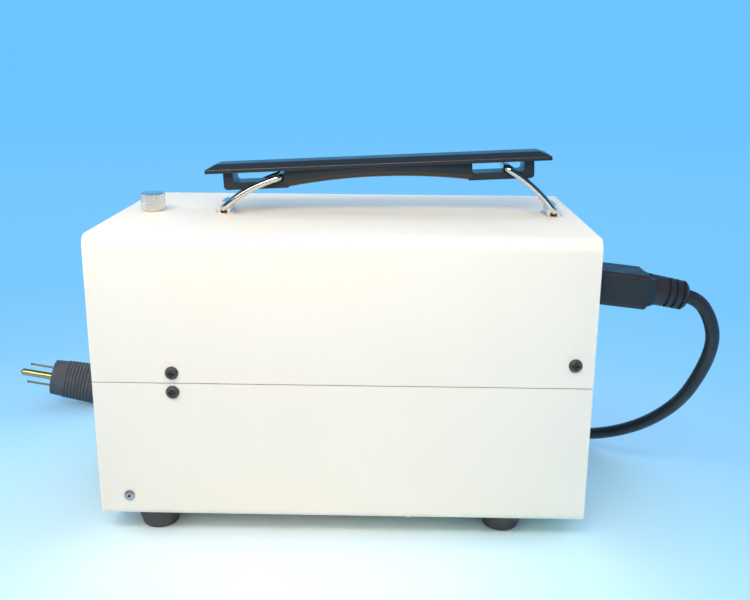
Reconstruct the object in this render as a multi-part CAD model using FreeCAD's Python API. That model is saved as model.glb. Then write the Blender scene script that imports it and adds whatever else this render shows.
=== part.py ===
"""Fiber optic illuminator: a sheet metal bench light source with a strap handle.

Frame: +X towards the rear panel, -Y is the long side in the photograph, +Z up.
The origin is the bottom centre of the object's box, on the surface it stands on.
All lengths are in millimetres, angles in degrees.
"""
import FreeCAD, Part
import math
import os

Vector = FreeCAD.Vector
X_AXIS = Vector(1, 0, 0)
Y_AXIS = Vector(0, 1, 0)
Z_AXIS = Vector(0, 0, 1)
ORIGIN = Vector(0, 0, 0)

# Housing
housing_length = 254.0
housing_width = 146.5
housing_height = 150.4
sheet = 1.5
cover_bend = 6.0
chassis_bend = 4.0
seam_height = 74.3
seam_gap = 0.5
overrun = 2.0
fit = 0.05
play = 0.3

# Panels set into both ends of the housing
panel_recess = 1.0
panel_flange = 18.0
panel_play = 0.2
panel_notch_width = 26.0
panel_notch_start = 4.0

# Rails behind the seam
rail_sheet = 1.2
rail_below = 12.0
rail_above = 20.0
rail_end_gap = 0.5

# Case screws: distances from the ends and from the seam
screw_head_radius = 3.4
screw_head_height = 2.1
screw_shank_radius = 1.7
screw_length = 8.0
recess_width = 1.0
recess_reach = 1.9
recess_depth = 1.2
pair_from_front = 41.1
pair_above_seam = 5.6
pair_below_seam = 4.7
rear_screw_from_rear = 9.7
rear_screw_above_seam = 12.3

# Blind rivets that hold the front panel to the chassis
rivet_head_radius = 2.9
rivet_head_height = 1.1
rivet_shank_radius = 1.6
rivet_length = 6.0
rivet_hole_radius = 0.8
rivet_from_front = 15.5
rivet_height = 11.4

# Feet
foot_height = 11.5
foot_top_radius = 12.7
foot_bottom_radius = 9.7
foot_round = 2.4
foot_round_steps = 4
foot_bore_radius = 4.6
foot_web = 4.0
foot_side_inset = 15.8
foot_rear_side_inset = 18.4
foot_front_inset = 27.1
foot_rear_inset = 41.2
foot_screw_head_radius = 4.0
foot_screw_head_height = 2.6
foot_screw_shank_radius = 2.0
foot_screw_length = 12.0
nut_across_flats = 7.0
nut_height = 3.0

# Air slots in the floor of the chassis
slot_width = 3.2
slot_length = 34.0
slot_pitch = 8.0
slot_count = 8
slot_row_offset = 22.0
slots_from_front = 66.0

# Hinges of the handle's two rings on the cover
pivot_left_x = -68.6
pivot_right_x = 113.6

# Carrying handle, along and below the lower edge of its plate
handle_overhang = 5.8
handle_length = pivot_right_x - pivot_left_x + handle_overhang
handle_width = 26.0
handle_edge_height = 2.1
handle_bevel = 6.0
handle_bevel_height = 2.4
handle_edge_round = 0.6
handle_forward = 6.0
front_bar_drop = 3.6559
rear_bar_drop = 3.4508
strap_width = 17.0
strap_depth = 9.7
strap_bar_height = 3.9
strap_end_inset = 9.0
strap_end_wall = 5.4
strap_corner = 2.2
window_corner = 1.7
window_length = 28.2
window_roof = 0.4
grip_middle_depth = 5.3
grip_middle_width = 25.0
grip_round = 2.8

# Handle rings and their brackets
rod_radius = 1.75
ring_reach = 36.2
ring_half_width = 11.0
ring_corner = 2.6
ring_arch = 2.0
pivot_rise = 3.2
ring_left_angle = 28.6
ring_right_angle = 40.8
bracket_depth = 16.0
bracket_wall = 1.75
bracket_foot = 1.3
bracket_foot_height = 0.9
bracket_tab_depth = 9.0
bracket_tab_drop = 1.3
bracket_tab_reach = 3.2

# Light guide port in the front panel
port_below_top = 37.2
port_bore_radius = 12.75
port_radius = 17.0
port_flange_radius = 22.0
port_flange_height = 3.0
port_length = 34.0
port_mouth_chamfer = 1.0
port_screw_circle = 19.4
port_screw_head_radius = 1.9
port_screw_head_height = 1.2
port_screw_shank_radius = 1.1
port_screw_length = 6.5
port_screw_count = 3

# Thumb screw that clamps the light guide, and the bush that it runs in
thumb_from_front = 17.1
thumb_radius = 6.75
thumb_height = 9.8
thumb_collar_radius = 5.2
thumb_collar_height = 1.1
thumb_chamfer = 0.7
thumb_lift = 0.3
thumb_shank_radius = 2.4
thumb_tip_radius = 1.8
thumb_tip_length = 3.0
thumb_tip_clearance = 0.8
knurl_count = 36
knurl_depth = 0.55
bush_across_flats = 11.0

# Lamp compartment
bulkhead_from_front = 37.0
bulkhead_sheet = 1.2
bulkhead_flange = 13.0
bulkhead_top_gap = 8.0
bulkhead_opening_radius = 22.0
filter_radius = 25.0
filter_thickness = 3.0
filter_ring_wall = 3.0
filter_ring_lip = 2.4
filter_ring_lip_depth = 1.4
lamp_gap = 6.5
reflector_radius = 25.2
reflector_depth = 20.0
reflector_neck_radius = 9.6
reflector_wall = 1.4
reflector_rim = 2.0
lamp_base_length = 15.0
lamp_base_radius = 9.4
capsule_radius = 4.6
capsule_length = 17.0
lamp_pin_radius = 0.8
lamp_pin_length = 7.0
lamp_pin_spacing = 5.3
socket_length = 12.0
socket_width = 24.0
socket_height = 15.0
holder_sheet = 1.2
holder_width = 54.0
holder_drop = 36.0
holder_opening_radius = 23.4

# Transformer on a strap across the chassis
strap_x = 35.3
tray_width = 46.0
tray_sheet = 2.0
tray_screw_inset = 6.6
tray_screw_head_radius = 2.4
tray_screw_head_height = 2.6
tray_screw_shank_radius = 1.5
tray_screw_length = 6.0
core_length = 96.0
core_height = 80.0
core_stack = 42.0
core_leg_share = 1 / 6
bobbin_wall = 1.6
bobbin_reach = 15.0
winding_reach = 13.0
winding_round = 6.0
core_bolt_inset = 7.0
core_bolt_radius = 2.0

# Dimmer board and its heat sink
board_length = 58.0
board_width = 92.0
board_thickness = 1.6
board_from_front = 48.0
board_rise = 8.0
standoff_radius = 3.0
standoff_inset = 5.0
sink_base = 3.0
sink_length = 40.0
sink_width = 30.0
sink_fin_height = 20.0
sink_fin = 1.5
sink_fin_count = 6
relay_length = 18.0
relay_width = 14.0
relay_height = 14.0
capacitor_radius = 8.0
capacitor_height = 22.0

# Intensity knob and its potentiometer
knob_from_side = 37.25
control_height = 43.2
knob_radius = 12.5
knob_length = 15.0
knob_gap = 0.8
knob_skirt_radius = 14.5
knob_skirt_length = 3.0
knob_flute_count = 12
knob_flute_radius = 2.0
knob_flute_sink = 0.7
knob_round = 1.2
pointer_width = 1.4
pointer_depth = 0.5
knob_hole_depth = 11.0
shaft_radius = 3.0
shaft_inside = 4.0
bush_radius = 4.7
pot_radius = 12.0
pot_depth = 11.0
pot_lug_width = 14.0
pot_lug_length = 8.0
pot_lug_thickness = 1.2

# Rocker switch
switch_from_side = 37.25
switch_bezel_width = 21.0
switch_bezel_height = 28.0
switch_bezel_depth = 2.0
switch_body_width = 18.6
switch_body_height = 25.0
switch_body_depth = 17.0
rocker_width = 14.6
rocker_height = 20.6
rocker_rise = 3.2
rocker_angle = 9.0
rocker_clearance = 0.4
rocker_well_depth = 9.0
rocker_pivot_radius = 1.5
rocker_pivot_depth = 2.6
rocker_pivot_reach = 0.8
switch_terminal_width = 4.8
switch_terminal_thickness = 0.8
switch_terminal_length = 7.0

# Fan in the rear panel
fan_from_side = 55.25
fan_height = 59.2
fan_hole_spacing = 71.5
fan_hole_margin = 4.25
fan_size = fan_hole_spacing + 2 * fan_hole_margin
fan_depth = 25.0
fan_rim = 2.0
fan_bore_radius = fan_size / 2 - fan_rim
fan_corner = 4.0
fan_hole_radius = 2.2
fan_hub_radius = 17.0
fan_motor_depth = 3.0
fan_strut_width = 4.0
fan_strut_count = 4
rotor_gap = 0.6
rotor_length = 20.0
blade_count = 7
blade_thickness = 1.4
blade_pitch = 38.0
blade_tip_gap = 1.2
blade_chord = 20.0
guard_wire = 1.0
guard_rib_wire = 1.1
guard_ring_inset = 3.0
guard_ring_pitch = 8.0
guard_ring_count = 4
guard_rise = 2.6
guard_rib_sink = 1.2
guard_eye_height = 2.6
guard_bend_beyond = 1.0
guard_eye_radius = 4.4
fan_screw_head_radius = 3.6
fan_screw_head_height = 2.0
fan_screw_shank_radius = 1.9
fan_screw_length = 14.0

# Power inlet with its fuse drawer
inlet_from_side = 23.25
inlet_flange_width = 30.0
inlet_flange_height = 33.8
inlet_flange_depth = 2.8
inlet_flange_round = 3.0
inlet_below_top = 32.1
inlet_body_depth = 22.0
inlet_body_wall = 1.8
inlet_socket_width = 24.8
inlet_socket_height = 16.8
inlet_socket_depth = 16.5
inlet_socket_rise = 5.8
inlet_socket_cut = 4.6
contact_width = 4.0
contact_thickness = 2.0
contact_length = 13.0
contact_spacing = 7.0
contact_drop = 2.0
drawer_width = 22.0
drawer_height = 8.0
drawer_length = 20.0
drawer_drop = 10.6
fuse_radius = 2.5
fuse_length = 20.0
blade_terminal_thickness = 0.8
blade_terminal_length = 8.0

# Connector on the lead
connector_width = 26.0
connector_height = 17.6
connector_length = 25.0
connector_shoulder = 4.2
connector_round = 2.6
connector_end_round = 1.2
connector_droop = 6.4
connector_gap = 0.3
connector_nose_gap = 0.5
connector_nose_end_gap = 1.2
relief_radius = 7.8
relief_end_radius = 7.5
relief_length = 18.0
relief_plain = 6.6
relief_round = 1.4
relief_droop = 11.0
relief_groove = 1.2
relief_groove_width = 1.5
relief_rib_count = 3

# Cord: its points are relative to the middle of the housing, on the surface
cord_radius = 3.6
lead_exit_run = 7.0
lead_points = (
    (190.4, -49.0, 116.8), (195.2, -44.5, 102.5), (194.2, -33.5, 81.5), (190.3, -13.0, 55.0),
    (176.5, 12.0, 30.5), (157.5, 37.5, 13.5), (146.0, 60.5, 5.0), (127.0, 78.5, 3.7),
    (97.0, 86.5, 3.65))
coil_entry_run = 30.0
coil_exit_run = 24.0
tail_points = (
    (-34.0, 87.0, 6.5), (-66.0, 95.5, 3.7), (-97.0, 107.0, 3.62), (-118.0, 114.3, 3.66))
plug_exit_run = 20.0
coil_x = 20.0
coil_y = 135.0
coil_turns = 5
coil_outer_radius = 50.6
coil_step = 7.9
coil_layer = 7.9
tie_thickness = 1.2
tie_width = 14.0
tie_corner = 3.0
tie_gap = 0.3
tie_slack = 0.8

# Mains plug
plug_x = -218.8
plug_y = 113.2
plug_z = 19.45
plug_yaw = -5.5
plug_pitch = 11.5
plug_roll = 22.0
plug_face_radius = 12.3
plug_neck_radius = 12.9
plug_neck_length = 8.2
plug_rib_radius = 13.3
plug_rib_growth = 0.11
plug_rib_depth = 0.6
plug_rib_pitch = 2.3
plug_rib_count = 11
plug_taper_radius = 6.6
plug_taper_length = 12.0
plug_relief_radius = 5.2
plug_relief_length = 14.0
plug_axis_offset = 3.5
prong_spacing = 12.7
prong_width = 6.35
prong_thickness = 1.5
prong_length = 18.2
prong_tip = 1.4
ground_offset = 11.9
ground_radius = 2.4
ground_length = 21.4
prong_seat = 3.0

# Places that follow from the sizes
x_front = -housing_length / 2
x_rear = housing_length / 2
y_side = housing_width / 2
z_bottom = foot_height
z_top = z_bottom + housing_height
z_floor = z_bottom + sheet
z_seam = z_bottom + seam_height
y_inner = y_side - sheet
front_face = x_front + panel_recess
rear_face = x_rear - panel_recess
front_inner = front_face + sheet
rear_inner = rear_face - sheet
port_z = z_top - port_below_top
thumb_x = x_front + thumb_from_front
pair_x = x_front + pair_from_front
bulkhead_x = x_front + bulkhead_from_front
lamp_x = bulkhead_x + bulkhead_sheet + lamp_gap
control_z = z_bottom + control_height
knob_y = y_side - knob_from_side
switch_y = switch_from_side - y_side
fan_y = y_side - fan_from_side
fan_z = z_bottom + fan_height
inlet_y = inlet_from_side - y_side
inlet_z = z_top - inlet_below_top
socket_z = inlet_z + inlet_socket_rise
drawer_z = inlet_z - drawer_drop
pivot_z = z_top + pivot_rise
knob_start = front_face - knob_gap
knob_end = knob_start - knob_length
guard_face = rear_face + guard_rise + 2 * guard_wire
frame_shift = -(knob_end + max(guard_face, rear_face + inlet_flange_depth)) / 2


def span(centre, size):
    """Low and high end of a size about its centre."""
    return (centre - size / 2, centre + size / 2)


def block(x, y, z):
    """Box between low and high ends along each axis."""
    return Part.makeBox(x[1] - x[0], y[1] - y[0], z[1] - z[0], Vector(x[0], y[0], z[0]))


def rod(radius, start, axis, length):
    """Cylinder from its start along an axis."""
    return Part.makeCylinder(radius, length, start, axis)


def prism(points, sweep):
    """Closed outline of points swept along a vector."""
    return Part.Face(Part.makePolygon(list(points) + [points[0]])).extrude(sweep)


def hexagon(across_flats, start, axis, length):
    """Hexagonal bar along an axis."""
    reach = across_flats / math.sqrt(3)
    corners = []
    for index in range(6):
        turn = math.radians(60 * index)
        corners.append(Vector(reach * math.cos(turn), reach * math.sin(turn), 0))
    bar = prism(corners, Vector(0, 0, length))
    bar.Placement = FreeCAD.Placement(start, FreeCAD.Rotation(Z_AXIS, axis))
    return bar


def turned(profile, start, axis):
    """Solid of revolution; profile lists (distance along the axis, radius)."""
    points = [Vector(radius, 0, along) for along, radius in profile]
    face = Part.Face(Part.makePolygon(points + [points[0]]))
    solid = face.revolve(ORIGIN, Z_AXIS, 360)
    solid.Placement = FreeCAD.Placement(start, FreeCAD.Rotation(Z_AXIS, axis))
    return solid


def joined(shapes):
    """One solid fused from many, with its seams cleaned."""
    first, *others = shapes
    return first.fuse(others).removeSplitter()


def cut(shape, tools):
    """Shape with every tool taken out of it."""
    return shape.cut(Part.makeCompound(tools))


def rounded(shape, radius, axis, choose):
    """Fillet the straight edges along an axis whose middle passes the choice."""
    edges = []
    for edge in shape.Edges:
        along = edge.tangentAt(edge.FirstParameter)
        straight = isinstance(edge.Curve, Part.Line)
        if straight and abs(abs(along.dot(axis)) - 1) < 1e-6 and choose(edge.CenterOfMass):
            edges.append(edge)
    return shape.makeFillet(radius, edges)


def everywhere(point):
    """Choice that takes every edge."""
    return True


def both_sides(shapes):
    """Shapes on the near side and their mirror images on the far side."""
    return shapes + [shape.mirror(ORIGIN, Y_AXIS) for shape in shapes]


def pan_screw(head_radius, head_height, shank_radius, shank_length, seat, axis):
    """Screw with a domed head and a cross recess; its shank points along the axis."""
    edge_height = head_height / 3
    dome = [(0, 0), (0, head_radius), (-edge_height, head_radius)]
    dome += [(-2 * edge_height, head_radius - edge_height), (-head_height, head_radius - 2 * edge_height)]
    dome += [(-head_height, 0)]
    head = turned(dome, seat, axis)
    shank = rod(shank_radius, seat - axis * (head_height / 2), axis, shank_length + head_height / 2)
    arms = []
    across = axis.cross(Z_AXIS) if abs(axis.dot(Z_AXIS)) < 1 / 2 else X_AXIS
    for direction in (across, axis.cross(across)):
        arm = Part.makeBox(2 * recess_reach, recess_width, recess_depth + overrun)
        arm.translate(Vector(-recess_reach, -recess_width / 2, -overrun))
        turn = FreeCAD.Rotation(direction, axis.cross(direction), axis, "XYZ")
        arm.Placement = FreeCAD.Placement(seat - axis * head_height, turn).multiply(arm.Placement)
        arms.append(arm)
    return cut(joined([head, shank]), arms)


def shell_section(low, high, bend, bend_high):
    """Three-sided sheet metal section as long as the housing, open at one side."""
    outer = block((x_front, x_rear), (-y_side, y_side), (low, high))
    bend_z = high if bend_high else low
    outer = rounded(outer, bend, X_AXIS, lambda p: abs(p.z - bend_z) < sheet)
    inner_low = low - overrun if bend_high else low + sheet
    inner_high = high - sheet if bend_high else high + overrun
    inner_bend_z = inner_high if bend_high else inner_low
    inner = block((x_front - overrun, x_rear + overrun), (-y_inner, y_inner), (inner_low, inner_high))
    inner = rounded(inner, bend - sheet, X_AXIS, lambda p: abs(p.z - inner_bend_z) < sheet)
    return outer.cut(inner)


def side_hole(x, z, radius):
    """Hole through both side walls."""
    return rod(radius, Vector(x, -y_side - overrun, z), Y_AXIS, housing_width + 2 * overrun)


def case_screw_places():
    """X and Z of the case screws on one side."""
    return [
        (pair_x, z_seam + pair_above_seam),
        (pair_x, z_seam - pair_below_seam),
        (x_rear - rear_screw_from_rear, z_seam + rear_screw_above_seam)]


def bracket_tab_slots():
    """Slots in the cover for the clinched tabs of both brackets."""
    slots = []
    for pivot_x in (pivot_left_x, pivot_right_x):
        for side in (-1, 1):
            wall_x = pivot_x + side * (rod_radius + fit + bracket_wall / 2)
            x = span(wall_x, bracket_wall + 2 * fit)
            y = span(0, bracket_tab_depth + 2 * fit)
            slots.append(block(x, y, (z_top - sheet - overrun, z_top + overrun)))
    return slots


def upper_cover():
    """Painted cover: top and two sides down to the seam."""
    cover = shell_section(z_seam + seam_gap / 2, z_top, cover_bend, True)
    holes = [side_hole(x, z, screw_shank_radius + fit) for x, z in case_screw_places()]
    thumb_hole = thumb_shank_radius + play
    holes.append(rod(thumb_hole, Vector(thumb_x, 0, z_top - sheet - overrun), Z_AXIS, sheet + 2 * overrun))
    return cut(cover, holes + bracket_tab_slots())


def foot_places():
    """X and Y of the four feet."""
    front = (x_front + foot_front_inset, y_side - foot_side_inset)
    rear = (x_rear - foot_rear_inset, y_side - foot_rear_side_inset)
    return [(x, side * y) for x, y in (front, rear) for side in (-1, 1)]


def tray_screw_y():
    """Distance of the strap's screws from the middle."""
    return y_side - tray_screw_inset


def lower_chassis():
    """Painted chassis: floor and two sides up to the seam."""
    chassis = shell_section(z_bottom, z_seam - seam_gap / 2, chassis_bend, False)
    holes = [side_hole(x, z, screw_shank_radius + fit) for x, z in case_screw_places()]
    holes.append(side_hole(x_front + rivet_from_front, z_bottom + rivet_height, rivet_shank_radius + fit))
    below = z_bottom - overrun
    through = sheet + 2 * overrun
    for x, y in foot_places():
        holes.append(rod(foot_screw_shank_radius + fit, Vector(x, y, below), Z_AXIS, through))
    for side in (-1, 1):
        place = Vector(strap_x, side * tray_screw_y(), below)
        holes.append(rod(tray_screw_shank_radius + fit, place, Z_AXIS, through))
        for index in range(slot_count):
            x = x_front + slots_from_front + index * slot_pitch
            slot = block(span(x, slot_width), span(side * slot_row_offset, slot_length), (below, below + through))
            holes.append(rounded(slot, slot_width / 2 - fit, Z_AXIS, everywhere))
    return cut(chassis, holes)


def seam_rails():
    """Strips behind the seam that cover and chassis are screwed to."""
    ends = panel_flange + rail_end_gap
    x = (front_face + ends, rear_face - ends)
    rail = block(x, (-y_inner, -y_inner + rail_sheet), (z_seam - rail_below, z_seam + rail_above))
    holes = []
    for place_x, z in case_screw_places():
        holes.append(side_hole(place_x, z, screw_shank_radius + fit))
    return Part.makeCompound(both_sides([cut(rail, holes)]))


def panel(outer_x, inward):
    """End panel: a shallow tray whose flanges point into the housing."""
    y = y_inner - panel_play
    z = (z_floor + panel_play, z_top - sheet - panel_play)
    ends = sorted((outer_x, outer_x + inward * panel_flange))
    tray = rounded(block(ends, (-y, y), z), cover_bend - sheet, X_AXIS, everywhere)
    ends = sorted((outer_x + inward * sheet, outer_x + inward * (panel_flange + overrun)))
    hollow = block(ends, (-y + sheet, y - sheet), (z[0] + sheet, z[1] - sheet))
    hollow = rounded(hollow, cover_bend - 2 * sheet, X_AXIS, everywhere)
    notch_x = sorted((outer_x + inward * panel_notch_start, outer_x + inward * (panel_flange + overrun)))
    notch = block(notch_x, span(0, panel_notch_width), (z[1] - sheet - overrun, z[1] + overrun))
    return cut(tray, [hollow, notch])


def through_panel(outer_x, inward):
    """Start and length along X of a cut through a panel's face."""
    return outer_x - inward * overrun, sheet + 2 * overrun


def port_screw_places():
    """Places of the port's screws on the front face."""
    places = []
    for index in range(port_screw_count):
        turn = math.radians(90 + 360 / port_screw_count * (index + 1 / 2))
        y = port_screw_circle * math.cos(turn)
        places.append(Vector(front_face, y, port_z + port_screw_circle * math.sin(turn)))
    return places


def front_panel():
    """Front panel with the light guide port, switch and knob cut-outs."""
    start, length = through_panel(front_face, 1)
    tools = [rod(port_radius + fit, Vector(start, 0, port_z), X_AXIS, length)]
    tools.append(rod(bush_radius + fit, Vector(start, knob_y, control_z), X_AXIS, length))
    width = switch_body_width + 2 * fit
    height = switch_body_height + 2 * fit
    tools.append(block((start, start + length), span(switch_y, width), span(control_z, height)))
    for place in port_screw_places():
        tools.append(rod(port_screw_shank_radius + fit, place - X_AXIS * overrun, X_AXIS, length))
    z = z_bottom + rivet_height
    tools.append(side_hole(x_front + rivet_from_front, z, rivet_shank_radius + fit))
    return cut(panel(front_face, 1), tools)


def fan_hole_places():
    """Y and Z of the fan's four screws."""
    reach = fan_hole_spacing / 2
    return [(fan_y + a * reach, fan_z + b * reach) for a in (-1, 1) for b in (-1, 1)]


def rear_panel():
    """Rear panel with the fan opening and the power inlet cut-out."""
    start = rear_inner - overrun
    length = sheet + 2 * overrun
    tools = [rod(fan_bore_radius, Vector(start, fan_y, fan_z), X_AXIS, length)]
    for y, z in fan_hole_places():
        tools.append(rod(fan_screw_shank_radius + fit, Vector(start, y, z), X_AXIS, length))
    y, z = inlet_body_spans(fit)
    tools.append(block((start, start + length), y, z))
    rear_screw_x, rear_screw_z = case_screw_places()[-1]
    tools.append(side_hole(rear_screw_x, rear_screw_z, screw_shank_radius + fit))
    return cut(panel(rear_face, -1), tools)


def case_screws():
    """Black screws in both sides."""
    screws = []
    for x, z in case_screw_places():
        seat = Vector(x, -y_side, z)
        screws.append(pan_screw(
            screw_head_radius, screw_head_height, screw_shank_radius, screw_length, seat, Y_AXIS))
    return Part.makeCompound(both_sides(screws))


def panel_rivets():
    """Blind rivets low on both sides near the front."""
    profile = [(0, rivet_hole_radius), (0, rivet_head_radius), (-rivet_head_height / 2, rivet_head_radius)]
    profile += [(-rivet_head_height, rivet_hole_radius * 2), (-rivet_head_height, rivet_hole_radius)]
    seat = Vector(x_front + rivet_from_front, -y_side, z_bottom + rivet_height)
    head = turned(profile, seat, Y_AXIS)
    shank = rod(rivet_shank_radius, seat, Y_AXIS, rivet_length)
    bore_start = seat - Y_AXIS * overrun
    rivet = joined([head, shank]).cut(rod(rivet_hole_radius, bore_start, Y_AXIS, rivet_length / 2 + overrun))
    return Part.makeCompound(both_sides([rivet]))


def rubber_feet():
    """Four tapered rubber bumpers with a counterbore for the screw."""
    hole = foot_screw_shank_radius + fit
    web = foot_height - foot_web
    profile = [(0, foot_bore_radius)]
    for step in range(foot_round_steps + 1):
        turn = math.pi / 2 * step / foot_round_steps
        out = foot_bottom_radius - foot_round * (1 - math.sin(turn))
        profile.append((foot_round * (1 - math.cos(turn)), out))
    profile += [(foot_height, foot_top_radius), (foot_height, hole), (web, hole), (web, foot_bore_radius)]
    return Part.makeCompound([turned(profile, Vector(x, y, 0), Z_AXIS) for x, y in foot_places()])


def foot_screws():
    """Screws up through the feet."""
    seat_z = foot_height - foot_web
    screws = []
    for x, y in foot_places():
        screws.append(pan_screw(
            foot_screw_head_radius, foot_screw_head_height, foot_screw_shank_radius, foot_screw_length,
            Vector(x, y, seat_z), Z_AXIS))
    return Part.makeCompound(screws)


def foot_nuts():
    """Hexagon nuts on the chassis floor above the feet."""
    nuts = []
    for x, y in foot_places():
        nut = hexagon(nut_across_flats, Vector(x, y, z_floor), Z_AXIS, nut_height)
        bore = rod(foot_screw_shank_radius + fit, Vector(x, y, z_floor), Z_AXIS, nut_height)
        nuts.append(nut.cut(bore))
    return Part.makeCompound(nuts)


def handle_plate():
    """Plate of the handle: a low edge and a top bevelled all round."""
    half_length = handle_length / 2
    half_width = handle_width / 2
    edge = block((-half_length, half_length), (-half_width, half_width), (0, handle_edge_height))
    wires = []
    for inset, z in ((0, handle_edge_height), (handle_bevel, handle_edge_height + handle_bevel_height)):
        x = half_length - inset
        y = half_width - inset
        corners = [Vector(-x, -y, z), Vector(x, -y, z), Vector(x, y, z), Vector(-x, y, z)]
        wires.append(Part.makePolygon(corners + [corners[0]]))
    plate = joined([edge, Part.makeLoft(wires, True, True)])
    rim = []
    for side in plate.Edges:
        if all(abs(corner.Z - handle_edge_height) < fit for corner in side.Vertexes):
            rim.append(side)
    return plate.makeFillet(handle_edge_round, rim)


def window_inner():
    """Distance of a window's inner end from the handle's middle."""
    return handle_length / 2 - strap_end_inset - strap_end_wall - window_length


def handle_straps():
    """Both windowed ends below the plate, where the rings slide."""
    inner = window_inner()
    outer = handle_length / 2 - strap_end_inset
    y = span(0, strap_width)
    straps = []
    for side in (-1, 1):
        x = sorted((side * (inner - overrun), side * outer))
        end_x = side * outer
        strap = block(x, y, (-strap_depth, 0))
        strap = rounded(
            strap, strap_corner, Y_AXIS, lambda p: abs(p.x - end_x) < strap_corner and p.z < -strap_corner)
        x = sorted((side * inner, side * (inner + window_length)))
        window = block(x, span(0, strap_width + 2 * overrun), (-strap_depth + strap_bar_height, -window_roof))
        window = rounded(window, window_corner, Y_AXIS, lambda p: p.z < -strap_bar_height)
        straps.append(strap.cut(window))
    return straps


def handle_middle():
    """Grip between the windows, arched below and swelling towards its middle."""
    inner = window_inner()
    y = handle_width / 2
    corner = Vector(inner, -y, -strap_depth)
    middle = Vector(0, -y, -grip_middle_depth)
    arch = Part.Arc(Vector(-inner, -y, -strap_depth), middle, corner).toShape()
    top = [Vector(inner, -y, -strap_depth), Vector(inner, -y, 0), Vector(-inner, -y, 0)]
    lines = Part.makePolygon(top + [Vector(-inner, -y, -strap_depth)])
    side_view = Part.Face(Part.Wire([arch] + lines.Edges)).extrude(Vector(0, handle_width, 0))
    edges = []
    corners = []
    for side in (-1, 1):
        start = Vector(-side * inner, -side * strap_width / 2, -strap_depth)
        end = Vector(side * inner, -side * strap_width / 2, -strap_depth)
        swell = Vector(0, -side * grip_middle_width / 2, -strap_depth)
        edges.append(Part.Arc(start, swell, end).toShape())
        corners.append((start, end))
    edges.insert(1, Part.makeLine(corners[0][1], corners[1][0]))
    edges.append(Part.makeLine(corners[1][1], corners[0][0]))
    plan = Part.Face(Part.Wire(edges)).extrude(Vector(0, 0, strap_depth))
    grip = side_view.common(plan)
    lower = []
    for edge in grip.Edges:
        if edge.CenterOfMass.z < -grip_middle_depth / 2 and edge.Length > inner:
            lower.append(edge)
    return grip.makeFillet(grip_round, lower)


def upper_bar(pivot_x, angle, side):
    """Middle of a ring's upper bar."""
    (near, near_way), crown, (far, far_way) = leg_arc(ring_reach, ring_arch, ring_corner)
    reach = (far + far_way * ring_corner).distanceToPoint(near - near_way * ring_corner)
    turn = math.radians(angle)
    return Vector(pivot_x + side * reach * math.cos(turn), 0, pivot_z + reach * math.sin(turn))


def handle_placement():
    """Where the handle rests: tilted, with each upper bar at its own drop below the plate."""
    front = upper_bar(pivot_left_x, ring_left_angle, 1)
    rear = upper_bar(pivot_right_x, ring_right_angle, -1)
    way = rear - front
    lean = math.asin((front_bar_drop - rear_bar_drop) / way.Length)
    tilt = math.atan2(way.z, way.x) - lean
    x = (pivot_left_x + pivot_right_x) / 2 - handle_forward
    z = rear.z - (rear.x - x) * math.tan(tilt) + rear_bar_drop / math.cos(tilt)
    return FreeCAD.Placement(Vector(x, 0, z), FreeCAD.Rotation(Y_AXIS, -math.degrees(tilt)))


def handle_grip():
    """Black moulded strap handle."""
    handle = joined([handle_plate(), handle_middle()] + handle_straps())
    handle.Placement = handle_placement()
    return handle


def leg_arc(reach, arch, inset):
    """Leg in its plane: ends and middle of an arc that bows upwards."""
    radius = (reach * reach / 4 + arch * arch) / (2 * arch)
    half_turn = math.asin(reach / 2 / radius)
    centre = Vector(reach / 2, 0, arch - radius)
    trim = half_turn - inset / radius

    def at(angle):
        """Point of the arc at an angle from its crown, and the direction there."""
        point = centre + Vector(radius * math.sin(angle), 0, radius * math.cos(angle))
        return point, Vector(math.cos(angle), 0, -math.sin(angle))

    return at(-trim), at(0), at(trim)


def corner_arc(point, direction, outward, towards):
    """Quarter turn from a leg's end into a crossbar that points to the middle."""
    diagonal = 1 - 1 / math.sqrt(2)
    middle = point + direction * (outward * ring_corner / math.sqrt(2)) + towards * (ring_corner * diagonal)
    end = point + direction * (outward * ring_corner) + towards * ring_corner
    return Part.Arc(point, middle, end), end


def ring(pivot_x, angle, side):
    """Chromed wire loop; side 1 reaches towards the rear, -1 towards the front."""
    (near, near_way), (crown, crown_way), (far, far_way) = leg_arc(ring_reach, ring_arch, ring_corner)
    leg_y = Vector(0, -ring_half_width, 0)
    low_corner, low_end = corner_arc(near + leg_y, near_way, -1, Y_AXIS)
    high_corner, high_end = corner_arc(far + leg_y, far_way, 1, Y_AXIS)
    low_middle = Vector(low_end.x, 0, low_end.z)
    high_middle = Vector(high_end.x, 0, high_end.z)
    path = Part.Wire([
        Part.makeLine(low_middle, low_end),
        low_corner.toShape(),
        Part.Arc(near + leg_y, crown + leg_y, far + leg_y).toShape(),
        high_corner.toShape(),
        Part.makeLine(high_end, high_middle)])
    section = Part.Wire(Part.makeCircle(rod_radius, low_middle, Y_AXIS))
    half = path.makePipeShell([section], True, True)
    loop = joined([half, half.mirror(ORIGIN, Y_AXIS)])
    loop.translate(-low_middle)
    settle = math.degrees(math.atan2(high_middle.z - low_middle.z, high_middle.x - low_middle.x))
    turn = FreeCAD.Rotation(Y_AXIS, -(angle - settle))
    loop.Placement = FreeCAD.Placement(ORIGIN, turn).multiply(loop.Placement)
    if side < 0:
        loop = loop.mirror(ORIGIN, X_AXIS)
    loop.translate(Vector(pivot_x, 0, pivot_z))
    return loop


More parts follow.
